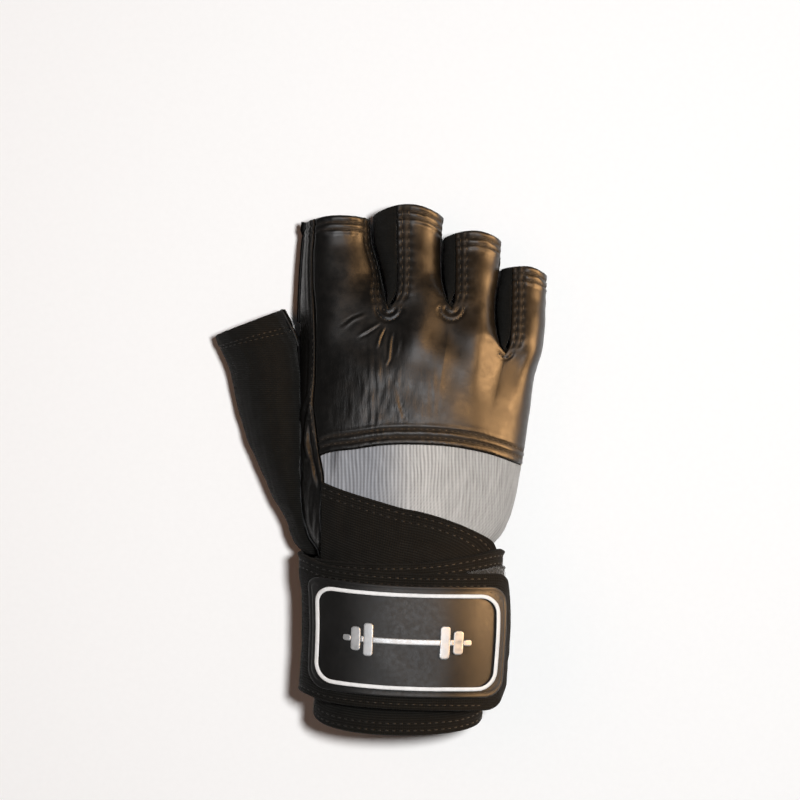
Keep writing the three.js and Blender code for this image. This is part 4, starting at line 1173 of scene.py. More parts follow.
def make_grey_back(pitch, rise):
    """Grey ribbed fabric: a panel whose ribs run lengthwise, with one soft fold at its left."""
    rows = shares((GREY_TOP - PANEL_FOOT) * GLOVE_LENGTH, 1.3)[:, None]

    def grid(columns):
        v = mix(PANEL_FOOT, GREY_GUESS, rows) + 0 * columns
        for _ in range(SIDE_SETTLING):
            left, right = left_edge(v), right_edge(v)
            x = spread(side_seam(v) + SEAM_GAP, right, left, right, UPPER_ROUND, columns)
            v = mix(PANEL_FOOT, leather_foot(x) - SEAM_GAP / GLOVE_LENGTH, rows)
        lift = np.where(columns >= 1, SIDE_GAP, 0.0)
        return np.stack([x, place_y(v), palm_top(x, v) + lift], 2)

    coarse = np.linspace(0, 1, 240)
    arc = running_length(grid(coarse[None]), 1).mean(0)
    width = arc[-1]
    even = np.linspace(0, 1, round(width / pitch) * POINTS_TO_A_RIB + 1)
    columns = np.interp(even * width, arc, coarse)
    columns[0], columns[-1] = 0.0, 1.0
    points = grid(columns[None])
    x, y = points[..., 0], points[..., 1]
    # The ribs run straight along the hand, so a rib's place follows X, not the panel's slanted sides
    over = np.interp(x, points[len(points) // 2, :, 0], even * width)
    over = over + 0.25 * ripple(x, y, 9.0, 30.0, seed=103)
    wave = 0.5 + 0.5 * np.cos(2 * np.pi * over / pitch)
    relief = rise * (wave * (0.75 + 0.25 * ripple(x, y, 1.6, 9.0, seed=101)) - 0.5)
    away, along = path_field(x, y, GREY_FOLD)
    fold = ridge(away, 1.3) * ease(1.3 * (1 - along))
    relief += 0.5 * ridge(away + 3.2, 1.8) + 0.3 * ridge(away - 3.0, 1.7) - 0.9 * fold
    relief += 0.12 * ripple(x, y, 15.0, 22.0, seed=102)
    length = width * even[None] + 0 * rows
    # The rib and fold fields feed the grey fabric's colour, where they paint shade between the ribs and in
    # the fold
    skin = Skin().add(points, STRETCH_WALL, relief=relief, rib=wave, fold=fold, u=length, v=y)
    return skin.weld().press(0.5), width


def wing_lines(j, on_left_finger, rows, count=70):
    """Side wall of a finger beside gap j: from the leather's seam over the side to the palm's seam."""
    i, side = (j, RIGHT) if on_left_finger else (j + 1, LEFT)
    t = np.linspace(0, 1, count)[None]

    def settle(bounds, power, height, shares_across):
        v = mix(CROTCHES[j], STALLS["hem_mid"][i], rows) + 0 * shares_across
        for _ in range(SIDE_SETTLING):
            sides = finger_sides(i, v)
            x = spread(bounds(i, v)[side], sides[side], *sides, power, shares_across)
            v = mix(CROTCHES[j], hem_at(i, share_across(x, *sides)), rows)
        return np.stack([x, place_y(v), height(i, x, v)], 2)

    over = settle(back_bounds, UPPER_ROUND, back_height, t)
    under = settle(front_bounds, UNDER_ROUND, front_height, 1 - t)
    return np.concatenate([over, under], 1)


GUSSET_DEPTH = 20.0
EARLY_ROWS = 1.15
TUCK_SPAN = 0.045


def make_gusset(j, step=0.8):
    """Fabric wall of a finger gap: both fingers' sides joined at the crotch."""
    crotch = CROTCHES[j]
    columns = shares(GUSSET_DEPTH, step)

    def wing(on_left_finger):
        i, end = (j, "hem_right") if on_left_finger else (j + 1, "hem_left")
        reach = STALLS[end][i] - crotch
        rows = shares(reach * GLOVE_LENGTH, step, False)[1:][:, None] ** EARLY_ROWS
        trim = 0.5 * SEAM_GAP + LEATHER_WALL * (1 - ease(rows[:, 0] * reach / TUCK_SPAN))
        grid = resample_rows(wing_lines(j, on_left_finger, rows), columns, trim, trim + 1.2 * SEAM_GAP)
        return grid, (1 - rows) * reach * GLOVE_LENGTH + 0 * columns[None]

    x, y = float(gap_line(j, crotch)), place_y(crotch)
    high = float(back_height(j, x, crotch)) - LEATHER_WALL - SEAM_GAP
    low = float(front_height(j, x, crotch)) + LEATHER_WALL + SEAM_GAP
    middle = np.stack([x + 0 * columns, y + 0 * columns, mix(high, low, columns)], 1)[None]
    (one, one_hem), (two, two_hem) = wing(True), wing(False)
    points = np.concatenate([one[::-1], middle, two])
    hem = np.concatenate([one_hem[::-1], FAR + 0 * columns[None], two_hem])
    arc = running_length(points, 1)
    relief = 0.10 * ripple(points[..., 1], arc, 3.2, 12.0, seed=110 + j)
    relief -= 0.25 * grooves(hem, HEM_ROWS, 0.5)
    skin = Skin().add(points, GUSSET_WALL, flip=True, relief=relief, u=points[..., 1], v=arc)
    return skin.weld().press(0.45)


THUMB_FOOT, THUMB_HEM = float(THUMB["along"][0]), float(THUMB["along"][-1])
THUMB_ROUND = 95.0
THUMB_SLANT = 0.75
THUMB_FOLD = 5.4


def make_thumb_stall(step=0.8):
    """Stretch fabric over the thumb and its ball, with a turned hem and soft draws at the crotch."""
    v = mix(THUMB_FOOT, THUMB_HEM, shares((THUMB_HEM - THUMB_FOOT) * GLOVE_LENGTH, step))[:, None]
    columns = shares(THUMB_ROUND, step)
    points = resample_rows(thumb_section_rows(v), columns, SEAM_GAP, SEAM_GAP)
    to_hem = (THUMB_HEM - v) * GLOVE_LENGTH * THUMB_SLANT + 0 * columns[None]
    arc = running_length(points, 1)
    x, y, z = points[..., 0], points[..., 1], points[..., 2]
    to_seam = np.minimum(arc, arc[:, -1:] - arc)
    draws = 0.30 * ripple(arc * 0.4, y, 9.0, 7.0, seed=121) * ridge(to_seam, 14.0)
    loose = 0.12 * ripple(arc, to_hem, 4.5, 9.0, seed=120) + 0.22 * ripple(x, y, 24.0, 13.0, seed=122)
    relief = 0.30 * ease((THUMB_FOLD - to_hem) / 0.8) - 0.30 * ridge(to_hem - 5.2, 0.5)
    relief += (draws + loose) * ease((z - 0.4) / 2.0)
    wall = hem_wall(STRETCH_WALL, to_hem, THUMB_FOLD)
    skin = Skin().add(points, wall, flip=True, relief=relief, u=arc, v=y).weld()
    return skin.press(0.7), points, to_hem


def thumb_section_rows(v, count=90):
    """The thumb's sections for a column of levels: an arc over it and an arc under it in each row."""
    flat = v[:, 0]
    seam = (left_edge(flat) - thumb["away"](flat) * KNUCKLE_BREADTH, place_y(flat))
    outer = (thumb["outer"](flat) * KNUCKLE_BREADTH, place_y(thumb["outer_along"](flat)))
    seam, outer = (np.stack(line, -1)[:, None] for line in (seam, outer))
    side, crest, under = (thumb[name](v) * HAND_HEIGHT for name in ("outer_mid", "crest", "under"))
    floor = under - FLAT_DEPTH
    high = np.maximum(level("left_high", v), THUMB_GUSSET_TOP * HAND_HEIGHT)
    closed = ease((v - THUMB_CROTCH + THUMB_CROTCH_SPAN) / THUMB_CROTCH_SPAN)
    low = mix(level("left_low", v), THUMB_GUSSET_FOOT * HAND_HEIGHT, closed)
    upper_start = np.arcsin(np.clip((high - side) / (crest - side), 0, 0.98))
    lower_end = np.arcsin(np.clip((side - low) / (side - floor), 0, 0.98))
    t = np.linspace(0, 1, count)[None]

    def arc(angle, end, reach):
        part = (1 + np.cos(angle)) / (1 + np.cos(end))
        z = np.maximum(0, side + reach * np.sin(angle))
        return np.concatenate([mix(outer, seam, part[..., None]), z[..., None]], 2)

    over = arc(mix(upper_start, np.pi, t), upper_start, crest - side)
    under = arc(-mix(np.pi, lower_end, t[:, 1:]), lower_end, side - floor)
    return np.concatenate([over, under], 1)


def make_thumb_leather(step=0.7):
    """Leather piece on the thumb's inner side, a ruled face between the stall's two seams."""
    rows = shares(16.0, step)[:, None]
    lines = thumb_section_rows(mix(THUMB_CROTCH + 0.012, THUMB_HEM, rows))
    s = shares(10.0, step)[None]
    points = mix(lines[:, :1], lines[:, -1:], mix(0.06, 0.94, s[..., None]))
    swell = 0.9 * np.sin(np.pi * s) * ease((rows - 0.35) / 0.4)
    points[..., 0] += swell - 2 * SEAM_GAP
    y, z = points[..., 1], points[..., 2]
    relief = 0.12 * ripple(y, z, 2.4, 6.0, seed=130)
    return Skin().add(points, STRETCH_WALL, flip=True, relief=relief, u=y, v=z).weld().press(0.5)


def wrist_point(turn, v, out):
    """A place on the wrist: superellipse section at a level, by its turn and its distance out."""
    angle = 2 * np.pi * np.mod(turn, 1.0)
    cosine, sine = np.cos(angle), np.sin(angle)
    half = (right_edge(v) - left_edge(v)) / 2 + out
    centre = (right_edge(v) + left_edge(v)) / 2
    power = np.where(sine > 0, UPPER_ROUND, UNDER_ROUND)
    left_side = np.where(sine < 0, level("left_low", v), level("left_high", v))
    side = np.where(cosine > 0, left_side, level("right_mid", v))
    reach = np.where(sine > 0, level("top", v) - side, side - level("bottom", v)) + out
    x = centre - half * np.sign(cosine) * np.abs(cosine) ** (2 / power)
    z = side + reach * np.sign(sine) * np.abs(sine) ** (2 / power)
    return np.stack([x, place_y(v) + 0 * x, np.maximum(0, z)], -1)


CUFF_OUT = LAYER_GAP + CUFF_WALL
LAYER_STEP = STRAP_WALL + LAYER_GAP
STRAP_END_X = -21.8
FIRST_TURN = STRAP["turn"][0]
BACK_TURN = 0.25


def cuff_face(v):
    """How far out the cuff's outer face lies; it flares where it laps over the glove's panels."""
    return CUFF_OUT + CUFF_FLARE * ease((v - PANEL_FOOT + 0.04) / 0.04)


def strap_out(turn, v):
    """How far out the strap's outer face lies: over the cuff at the wrist, on the hand above it."""
    base = mix(cuff_face(v) + LAYER_GAP, LAYER_GAP, ease((v - CUFF_TOP) / CUFF_SPAN))
    return base + LAYER_STEP * (strap_layer(turn) + 1)


def turn_at(x, v, out):
    """Turn round the wrist's back at which its section has a place across."""
    half = (right_edge(v) - left_edge(v)) / 2 + out
    xi = np.clip((x - (right_edge(v) + left_edge(v)) / 2) / half, -0.995, 0.995)
    return np.arccos(-np.sign(xi) * np.abs(xi) ** (UPPER_ROUND / 2)) / (2 * np.pi)


TIP_ROWS = 42
TIP_CLOSENESS = 2.1
TIP_ROUND = 2.7
TIP_FULLNESS = 0.44


def tip_share(turn):
    """0 along the strap and 1 at its very end, by way of its round tip."""
    return np.clip((turn - STRAP_TIP_START) / (STRAP_TIP_END - STRAP_TIP_START), 0, 1)


def strap_places(turn, s):
    """Places on the strap's outer face: turn along it, s from its upper to its lower edge."""
    width = np.maximum(0.02, (1 - tip_share(turn) ** TIP_ROUND) ** TIP_FULLNESS)
    middle = (strap_upper(turn) + strap_lower(turn)) / 2
    half = width * (strap_upper(turn) - strap_lower(turn)) / 2
    v = middle + half * (1 - 2 * s)
    # The sewn end is cut along the side leather, so its turns start where they reach that line
    start = turn_at(STRAP_END_X, v, strap_out(turn, v))
    late = np.clip((turn - FIRST_TURN) / (BACK_TURN - FIRST_TURN), 0, 1)
    turn = np.where(turn < BACK_TURN, mix(start, BACK_TURN, late), turn)
    return wrist_point(turn, v, strap_out(turn, v)), half


def strap_turns(step):
    """Turns at even distances along the strap's middle, closer together at its round end."""
    dense = np.linspace(FIRST_TURN, STRAP_TIP_START, 900)
    points, _ = strap_places(dense, 0.5 + 0 * dense)
    reach = running_length(points)
    turns = np.interp(shares(reach[-1], step, fine_end=False) * reach[-1], reach, dense)
    tip = mix(STRAP_TIP_START, STRAP_TIP_END, 1 - (1 - np.linspace(0, 1, TIP_ROWS)[1:]) ** TIP_CLOSENESS)
    return np.concatenate([turns, tip])


STRAP_BREADTH = 49.0
SEWN_GROOVE = 0.22


def make_strap(step=1.05):
    """Woven strap wound round the wrist, with thick edges, sewn rows and a round end."""
    turn = strap_turns(step)[:, None]
    s = shares(STRAP_BREADTH, 0.95)[None]
    points, half = strap_places(turn + 0 * s, s + 0 * turn)
    along = running_length(points)[:, points.shape[1] // 2][:, None] + 0 * s
    breadth = 2 * half * GLOVE_LENGTH
    across = s * breadth
    lower = breadth - across
    sewn = grooves(across, STRAP_ROWS, 0.5) + ridge(lower - STRAP_ROWS[0], 0.5)
    relief = 0.16 * ease(1.4 - np.minimum(across, lower)) - SEWN_GROOVE * (1 - tip_share(turn)) * sewn
    relief += 0.16 * ripple(along, across, 24.0, 15.0, seed=140)
    relief += 0.06 * ripple(along, across, 7.0, 30.0, seed=141)
    # The first turn bends over the heel of the hand, so it wrinkles a little near its end
    relief += 0.22 * ease((26 - along) / 22) * ripple(along, across, 7.0, 26.0, seed=142)
    skin = Skin().add(points, STRAP_WALL, relief=relief, u=along, v=across).weld()
    body = turn[:, 0] < STRAP_TIP_START
    flat = points[body].transpose(1, 0, 2)
    rows = [level_line(flat, across[body].T, row) for row in STRAP_ROWS]
    return skin.press(0.6), [*rows, level_line(flat, lower[body].T, STRAP_ROWS[0])]


CUFF_ROUND = 210.0
CUFF_BREADTH = 62.0
CUFF_ANGLES = 171


def make_cuff(step=1.25):
    """Inner layer round the wrist, with sewn rows along its free edge."""
    turn = np.linspace(0, 1, CUFF_ANGLES)[:, None]
    s = shares(CUFF_BREADTH, step)[None]
    v = mix(cuff_upper(turn), cuff_lower(turn), s)
    points = wrist_point(turn + 0 * s, v, cuff_face(v))
    free = (v - cuff_lower(turn)) * GLOVE_LENGTH
    # The soft waves fade out at the cuff's own seam, where its two ends meet
    waves = 0.18 * ripple(turn * CUFF_ROUND, free, 14.0, 9.0, seed=150) * (turn * (1 - turn) * 4)
    relief = 0.25 * ease((6.5 - free) / 1.2) + waves - 0.30 * grooves(free, CUFF_ROWS, 0.5)
    skin = Skin().add(points, CUFF_WALL, relief=relief, u=turn * CUFF_ROUND + 0 * s, v=free).weld()
    return skin.press(0.7), [level_line(points.transpose(1, 0, 2), free.T, row) for row in CUFF_ROWS]


PATCH_TURN = 2.25


def patch_point(right, up, rise):
    """A place over the strap's end, by its distances right of and above the patch's middle."""
    out = strap_out(PATCH_TURN, PATCH_LEVEL) + rise
    x = PATCH_CENTRE * KNUCKLE_BREADTH + right
    turn = 2 + turn_at(x, PATCH_LEVEL, out)
    v = (strap_upper(turn) + strap_lower(turn)) / 2 + up / GLOVE_LENGTH
    return wrist_point(turn, v, strap_out(turn, v) + rise)


def cornered(half, place, half_height, corner):
    """Half height of a rounded rectangle at a place along it."""
    into = np.maximum(0, np.abs(place) - (half - corner))
    return half_height - corner + np.sqrt(np.maximum(0, corner * corner - into * into))


PATCH_HEIGHT = 0.80 * (STRAP["upper"][0] - STRAP["lower"][0]) * GLOVE_LENGTH
PATCH_RISE = LAYER_GAP + PATCH_WALL


def pad_grid(length, height, corner, rise, step, shift=0.0):
    """A rounded rectangle laid over the patch's place, its columns closer at both ends."""
    columns = max(6, int(length * 1.5 / step))
    rows = shares(height, step)
    place = -length / 2 * np.cos(np.pi * np.linspace(0, 1, columns))[:, None]
    half = np.maximum(0.02, cornered(length / 2, place, height / 2, corner))
    up = half * (1 - 2 * rows[None])
    return patch_point(place + shift + 0 * up, up, rise), place + 0 * up, up


def make_patch(step=0.62):
    """Moulded rubber patch: a rounded rectangle with a shallow sewn channel along its rim."""
    points, place, up = pad_grid(PATCH_LENGTH, PATCH_HEIGHT, PATCH_CORNER, PATCH_RISE, step)
    skin = Skin().add(points, PATCH_WALL, u=place, v=up).weld()
    relief = -0.22 * ridge(skin.edge - PATCH_ROW, 0.42) - 0.05 * ease((skin.edge - 2.4) / 0.8)
    relief += 0.05 * ripple(skin.fields["u"], skin.fields["v"], 16.0, 12.0, seed=160)
    return skin.shape(relief, 0.45)


BORDER_STEP = 0.8


def border_path(inset, steps=10):
    """Places along a rounded rectangle inside the patch's rim, with its outward directions."""
    half_x, half_y = PATCH_LENGTH / 2 - inset, PATCH_HEIGHT / 2 - inset
    corner = BORDER_CORNER
    angle = (np.arange(4)[:, None] * np.pi / 2 + np.linspace(0, np.pi / 2, steps)).ravel()
    facing = np.stack([np.cos(angle), np.sin(angle)], 1)
    corners = np.array([(1, 1), (-1, 1), (-1, -1), (1, -1)]) * (half_x - corner, half_y - corner)
    ring = np.repeat(corners, steps, axis=0) + corner * facing
    ring, facing = (np.concatenate([places, places[:1]]) for places in (ring, facing))
    reach = running_length(ring)
    goals = np.linspace(0, reach[-1], int(reach[-1] / BORDER_STEP))
    return places_along(ring, reach, goals), places_along(facing, reach, goals)


def make_border():
    """White line round the patch: a low round band carried along a rounded rectangle."""
    ring, facing = border_path(BORDER_INSET)
    s = np.array([-1.0, -0.8, -0.4, 0.0, 0.4, 0.8, 1.0])
    flat = ring[:, None] + facing[:, None] * s[:, None] * BORDER_WIDTH / 2
    rise = PATCH_RISE + LAYER_GAP + BORDER_RISE * (1 - 0.35 * s**4)
    points = patch_point(flat[..., 0], flat[..., 1], rise)
    return Skin().add(points, BORDER_RISE + 0.25, flip=True).weld().shape(0.0, 0.12)


# The barbell's plates, by their places from the middle and their heights, in shares of the emblem's
PLATES = ((0.30, 1.00), (0.40, 0.72))
EMBLEM_LAP = 0.1


def make_emblem(step=0.3):
    """Plain barbell in relief: plates and lengths of shaft as rounded pads in a row."""
    halves = (-PLATE_WIDTH / 2, PLATE_WIDTH / 2)
    edges = [place * EMBLEM_LENGTH + half for place, _ in PLATES for half in halves]
    inner, gap_start, gap_end, outer = edges
    between, end = gap_end - gap_start, EMBLEM_LENGTH / 2 - outer
    # Each pad's length, height, place along the barbell and corner
    pads = [(2 * (inner + EMBLEM_LAP), SHAFT_HEIGHT, 0.0, 0.3)]
    for side in (-1, 1):
        for place, tall in PLATES:
            pads.append((PLATE_WIDTH, tall * PLATE_HEIGHT, side * place * EMBLEM_LENGTH, 1.2))
        pads.append((between + 2 * EMBLEM_LAP, SHAFT_HEIGHT, side * (gap_start + gap_end) / 2, 0.1))
        pads.append((end, SHAFT_HEIGHT, side * (outer + end / 2), 0.8))
    parts = []
    for length, tall, shift, corner in pads:
        points, _, _ = pad_grid(length, tall, corner, PATCH_RISE + LAYER_GAP + EMBLEM_RISE, step, shift)
        parts.append(Skin().add(points, EMBLEM_RISE + 0.2).weld().shape(0.0, 0.3).solid())
    starts = np.cumsum([0] + [len(points) for points, _ in parts])
    faces = np.concatenate([faces + start for (_, faces), start in zip(parts, starts)])
    return np.concatenate([points for points, _ in parts]), faces


LOOP_BREADTH = 36.0
LOOP_PACE = 260.0


def make_loop_tape(step=0.8):
    """Loop tape on the strap's second turn: a soft pad that carries small loops."""
    turn = np.linspace(LOOP_START, LOOP_END, 60)[:, None]
    s = shares(LOOP_BREADTH, step)[None]
    v = mix(strap_upper(turn) - 0.030, strap_lower(turn) + 0.040, s)
    points = wrist_point(turn + 0 * s, v, strap_out(turn, v) + LAYER_GAP + LOOP_WALL)
    u, across = (turn - LOOP_START) * LOOP_PACE + 0 * s, s * LOOP_BREADTH + 0 * turn
    relief = 0.14 * ripple(u, across, 1.7, 1.7, seed=170)
    return Skin().add(points, LOOP_WALL, relief=relief, u=u, v=across).weld().press(0.4)


class Fuzz(Threads):
    """Small loops of yarn scattered over a skin."""

    RINGS = table("along wide", (-1.0, 0.7), (-0.5, 1.0), (0.0, 1.0), (0.5, 1.0), (1.0, 0.7))
    SIDES = 3
    HEIGHTS = (0.15, 0.55)
    DIP = 0.6

    def scatter(self, skin, count, reach, thick, seed):
        """Loops at seeded places, each turned at random and arched over the skin."""
        draw = np.random.default_rng(seed)
        picks = draw.choice(len(skin.outer), count, replace=len(skin.outer) < count)
        places, normals = skin.outer[picks], skin.outer_normals[picks]
        ahead = along_face(draw.normal(size=places.shape), normals)
        places = places + normals * draw.uniform(*self.HEIGHTS, (count, 1))
        return self.lay(places, ahead, normals, reach, thick, self.DIP)


class Finish:
    """A material: one Principled shader, textures on the piece's own places, and a chain of bumps."""

    def __init__(self, name, colour, roughness, **sockets):
        self.material = bpy.data.materials.new(name)
        self.material.use_nodes = True
        self.tree = self.material.node_tree
        self.shader = self.tree.nodes["Principled BSDF"]
        self.shader.inputs["Base Color"].default_value = (*colour, 1.0)
        self.shader.inputs["Roughness"].default_value = roughness
        for socket, value in sockets.items():
            self.shader.inputs[socket.replace("_", " ").title().replace("Ior", "IOR")].default_value = value
        self.normal = None

    def node(self, kind, settings=None, **inputs):
        """A node with its settings and its inputs, each a value or another node's output."""
        made = self.tree.nodes.new("ShaderNode" + kind)
        for key, value in (settings or {}).items():
            setattr(made, key, value)
        for key, value in inputs.items():
            socket = made.inputs[int(key[1:])] if key[1:].isdigit() else made.inputs[key.replace("_", " ")]
            if isinstance(value, bpy.types.NodeSocket):
                self.tree.links.new(value, socket)
            else:
                socket.default_value = value
        return made

    def place(self, turns=(1, 1, 1)):
        """Object coordinates in millimetres, each stretched by its own factor."""
        found = self.node("TexCoord").outputs["Object"]
        scale = tuple(1000.0 * turn for turn in turns)
        return self.node("Mapping", Vector=found, Scale=scale).outputs["Vector"]

    def cloth(self, turns=(1, 1, 1)):
        """The piece's own places along and across its cloth, in millimetres."""
        found = self.node("Attribute", {"attribute_name": "cloth"}).outputs["Vector"]
        return self.node("Mapping", Vector=found, Scale=turns).outputs["Vector"]

    def field(self, name):
        """One of the piece's own fields."""
        return self.node("Attribute", {"attribute_name": name}).outputs["Fac"]

    def noise(self, vector, scale, detail):
        """Smooth noise from 0 to 1."""
        made = self.node("TexNoise", Vector=vector, Scale=scale, Detail=detail, Roughness=0.55)
        return made.outputs["Fac"]

    def cells(self, vector, scale):
        """Distance to the nearest of scattered points."""
        return self.node("TexVoronoi", {"feature": "F1"}, Vector=vector, Scale=scale).outputs["Distance"]

    def wave(self, vector, scale, distortion, direction):
        """A sine wave along one direction."""
        settings = {"bands_direction": direction, "wave_profile": "SIN"}
        made = self.node("TexWave", settings, Vector=vector, Scale=scale, Distortion=distortion)
        return made.outputs["Fac"]

    def math(self, operation, first, *others):
        """Values joined one after another by an operation."""
        for other in others:
            first = self.node("Math", {"operation": operation}, _0=first, _1=other).outputs[0]
        return first

    def times(self, *values):
        """Product of values."""
        return self.math("MULTIPLY", *values)

    def plus(self, *values):
        """Sum of values."""
        return self.math("ADD", *values)

    def ramp(self, value, *stops):
        """A colour for each value, from stops of place and colour."""
        made = self.node("ValToRGB", Fac=value)
        elements = made.color_ramp.elements
        while len(elements) < len(stops):
            elements.new(0.5)
        for element, (place, colour) in zip(elements, stops):
            element.position = place
            element.color = (*colour, 1.0)
        return made.outputs["Color"]

    def span(self, value, low, high, to_low=0.0, to_high=1.0):
        """A value from one range carried smoothly to another."""
        smooth = {"interpolation_type": "SMOOTHSTEP"}
        made = self.node("MapRange", smooth, _0=value, _1=low, _2=high, _3=to_low, _4=to_high)
        return made.outputs[0]

    def shades(self, value, colour, *stops):
        """A colour's shades for each value, from stops of place and lightness."""
        return self.ramp(value, *((place, scaled(colour, light)) for place, light in stops))

    def mottle(self, tone, colour, dark, light):
        """Sets a base colour that wavers between a darker and a lighter shade by an uneven tone."""
        return self.set("Base Color", self.shades(tone, colour, (0.3, dark), (0.75, light)))

    def wear(self, tone, smooth, rough):
        """Sets a roughness that wavers between two values by an uneven tone."""
        return self.set("Roughness", self.span(tone, 0.25, 0.75, smooth, rough))

    def bump(self, height, depth):
        """Adds a relief of a depth in millimetres to the chain of bumps."""
        made = self.node("Bump", Height=height, Strength=1.0, Distance=depth * MM)
        if self.normal is not None:
            self.tree.links.new(self.normal, made.inputs["Normal"])
        self.normal = made.outputs["Normal"]
        return self

    def set(self, socket, value):
        """Links a value or colour that varies over the piece to the shader."""
        self.tree.links.new(value, self.shader.inputs[socket])
        return self

    def done(self):
        """The finished material."""
        if self.normal is not None:
            self.tree.links.new(self.normal, self.shader.inputs["Normal"])
        return self.material


def scaled(colour, factor):
    """A colour made lighter or darker."""
    return tuple(min(1.0, channel * factor) for channel in colour)


def knuckle_leather_finish(black, brown):
    """Glossy black leather with a fine grain, its colour warmed to brown over the little finger's side as a
    painted warm reflection.
    """
    finish = Finish("knuckle_leather", black, 0.36, specular_ior_level=0.45)
    place = finish.place()
    axes = finish.node("SeparateXYZ", Vector=place)
    across, along = axes.outputs["X"], axes.outputs["Y"]
    # The base colour is a painted warm reflection: black warmed to brown towards the little finger's side
    # in uneven patches, and kept black in the stitch holes and grooves as painted shade
    sheen_patches = finish.span(finish.noise(place, 0.05, 3.0), 0.30, 0.75, 0.45, 1.25)
    pit = finish.field("pit")
    warm = finish.times(finish.span(across, 2.0, 44.0), sheen_patches, finish.span(pit, 0.0, 0.6, 1.0, 0.0))
    halfway = tuple(mix(x, y, 0.5) for x, y in zip(black, brown))
    finish.set("Base Color", finish.ramp(warm, (0.0, black), (0.5, halfway), (1.0, brown)))
    worn = finish.span(finish.noise(place, 0.35, 5.0), 0.25, 0.75, 0.30, 0.42)
    finish.set("Roughness", finish.plus(worn, finish.times(pit, 0.6)))
    # Lengthwise streaks over the lower middle
    streaks = finish.math("SUBTRACT", finish.noise(finish.place((1.6, 0.26, 0.3)), 1.0, 4.0), 0.5)
    sides = (finish.span(across, -26.0, -12.0), finish.span(across, 30.0, 8.0))
    finish.bump(finish.times(streaks, finish.span(along, 48.0, 30.0), *sides), 0.09)
    finish.bump(finish.noise(place, 2.4, 2.0), 0.006)
    return finish.done()


def palm_leather_finish(name, black):
    """Half matte black leather with a plain grain."""
    finish = Finish(name, black, 0.5, specular_ior_level=0.3)
    place = finish.place()
    finish.mottle(finish.noise(place, 0.12, 4.0), black, 1.0, 1.7)
    finish.wear(finish.noise(place, 0.4, 4.0), 0.36, 0.50)
    finish.bump(finish.cells(place, 1.1), 0.09)
    finish.bump(finish.noise(place, 2.8, 3.0), 0.06)
    return finish.done()


def black_cloth_finish(name, colour, rib, weave, sheen):
    """Matte black cloth: fine ribs along it, cross threads, soft lint and a little sheen."""
    finish = Finish(name, colour, 0.88, sheen_weight=sheen, sheen_roughness=0.5, specular_ior_level=0.12)
    cloth = finish.cloth()
    ribs = finish.wave(cloth, rib, 0.6, "Y")
    crossed = finish.wave(cloth, weave, 0.8, "X")
    lint = finish.noise(cloth, 0.25, 5.0)
    finish.set("Base Color", finish.shades(finish.times(ribs, lint), colour, (0.1, 0.6), (0.7, 1.6)))
    finish.bump(ribs, 0.10)
    finish.bump(crossed, 0.06)
    finish.bump(finish.noise(cloth, 2.5, 3.0), 0.08)
    return finish.done()


def grey_cloth_finish(grey):
    """Light grey rib fabric with small knit stitches, with painted shade between its ribs and in its fold,
    and painted light that is cool at its left and warm and lighter at its right.
    """
    finish = Finish("grey_stretch", grey, 0.85, sheen_weight=0.15, specular_ior_level=0.2)
    rib = finish.field("rib")
    cloth = finish.cloth()
    uneven = finish.noise(finish.cloth((0.9, 0.10, 1.0)), 1.0, 3.0)
    across = finish.node("SeparateXYZ", Vector=finish.place()).outputs["X"]
    knit = finish.wave(cloth, 0.62, 1.0, "Y")
    # Painted shade: darker between the ribs, less so towards the right, and darker in the fold
    ribbed = finish.times(rib, finish.span(across, 8.0, 36.0, 0.50, 0.22))
    tone = finish.plus(ribbed, finish.times(uneven, 0.55), finish.times(knit, 0.10))
    tone = finish.math("SUBTRACT", tone, finish.times(finish.field("fold"), 0.45))
    # Painted light: the grey is tinted cool and darker at its left, warm and lighter at its right
    cool_lit_grey = (grey[0] * 0.90, grey[1] * 0.97, grey[2] * 1.10)
    warm = finish.shades(tone, grey, (0.10, 0.45), (0.50, 1.12), (0.95, 1.7))
    cool_lit_shades = finish.shades(tone, cool_lit_grey, (0.10, 0.30), (0.50, 0.60), (0.95, 1.0))
    warm_lit_share = finish.span(across, -4.0, 18.0)
    blend = finish.node("MixRGB", {"blend_type": "MIX"}, Fac=warm_lit_share, Color1=cool_lit_shades, Color2=warm)
    finish.set("Base Color", blend.outputs["Color"])
    finish.bump(knit, 0.05)
    finish.bump(finish.noise(cloth, 3.0, 3.0), 0.06)
    return finish.done()


def loop_finish(colour):
    """Fuzzy loop tape, rough and uneven."""
    finish = Finish("loop_tape", colour, 0.95, sheen_weight=0.5)
    place = finish.place()
    finish.mottle(finish.noise(place, 1.1, 4.0), colour, 0.5, 2.4)
    finish.bump(finish.noise(place, 2.0, 4.0), 0.3)
    return finish.done()


def rubber_finish(colour):
    """Dark grey moulded rubber, matte, with fine pores and a dusty unevenness."""
    finish = Finish("patch_rubber", colour, 0.5, specular_ior_level=0.4)
    place = finish.place()
    finish.mottle(finish.noise(place, 0.10, 5.0), colour, 0.8, 1.5)
    finish.wear(finish.noise(place, 0.6, 4.0), 0.36, 0.48)
    finish.bump(finish.noise(place, 4.0, 3.0), 0.035)
    return finish.done()


def plain_finish(name, colour, roughness, pitch=2.0, depth=0.02, wear=0.12, **sockets):
    """A plain coat with fine unevenness in its colour, gloss and surface."""
    finish = Finish(name, colour, roughness, **sockets)
    place = finish.place()
    tone = finish.noise(place, 0.5, 4.0)
    finish.mottle(tone, colour, 1 - wear, 1 + wear / 2)
    finish.set("Roughness", finish.span(tone, 0.3, 0.7, roughness - 0.07, roughness + 0.1))
    finish.bump(finish.noise(place, pitch, 3.0), depth)
    return finish.done()


def made_once(name, make, *values, **looks):
    """A material by its name, made by its own function when it is first asked for."""
    return bpy.data.materials.get(name) or make(name, *values, **looks)


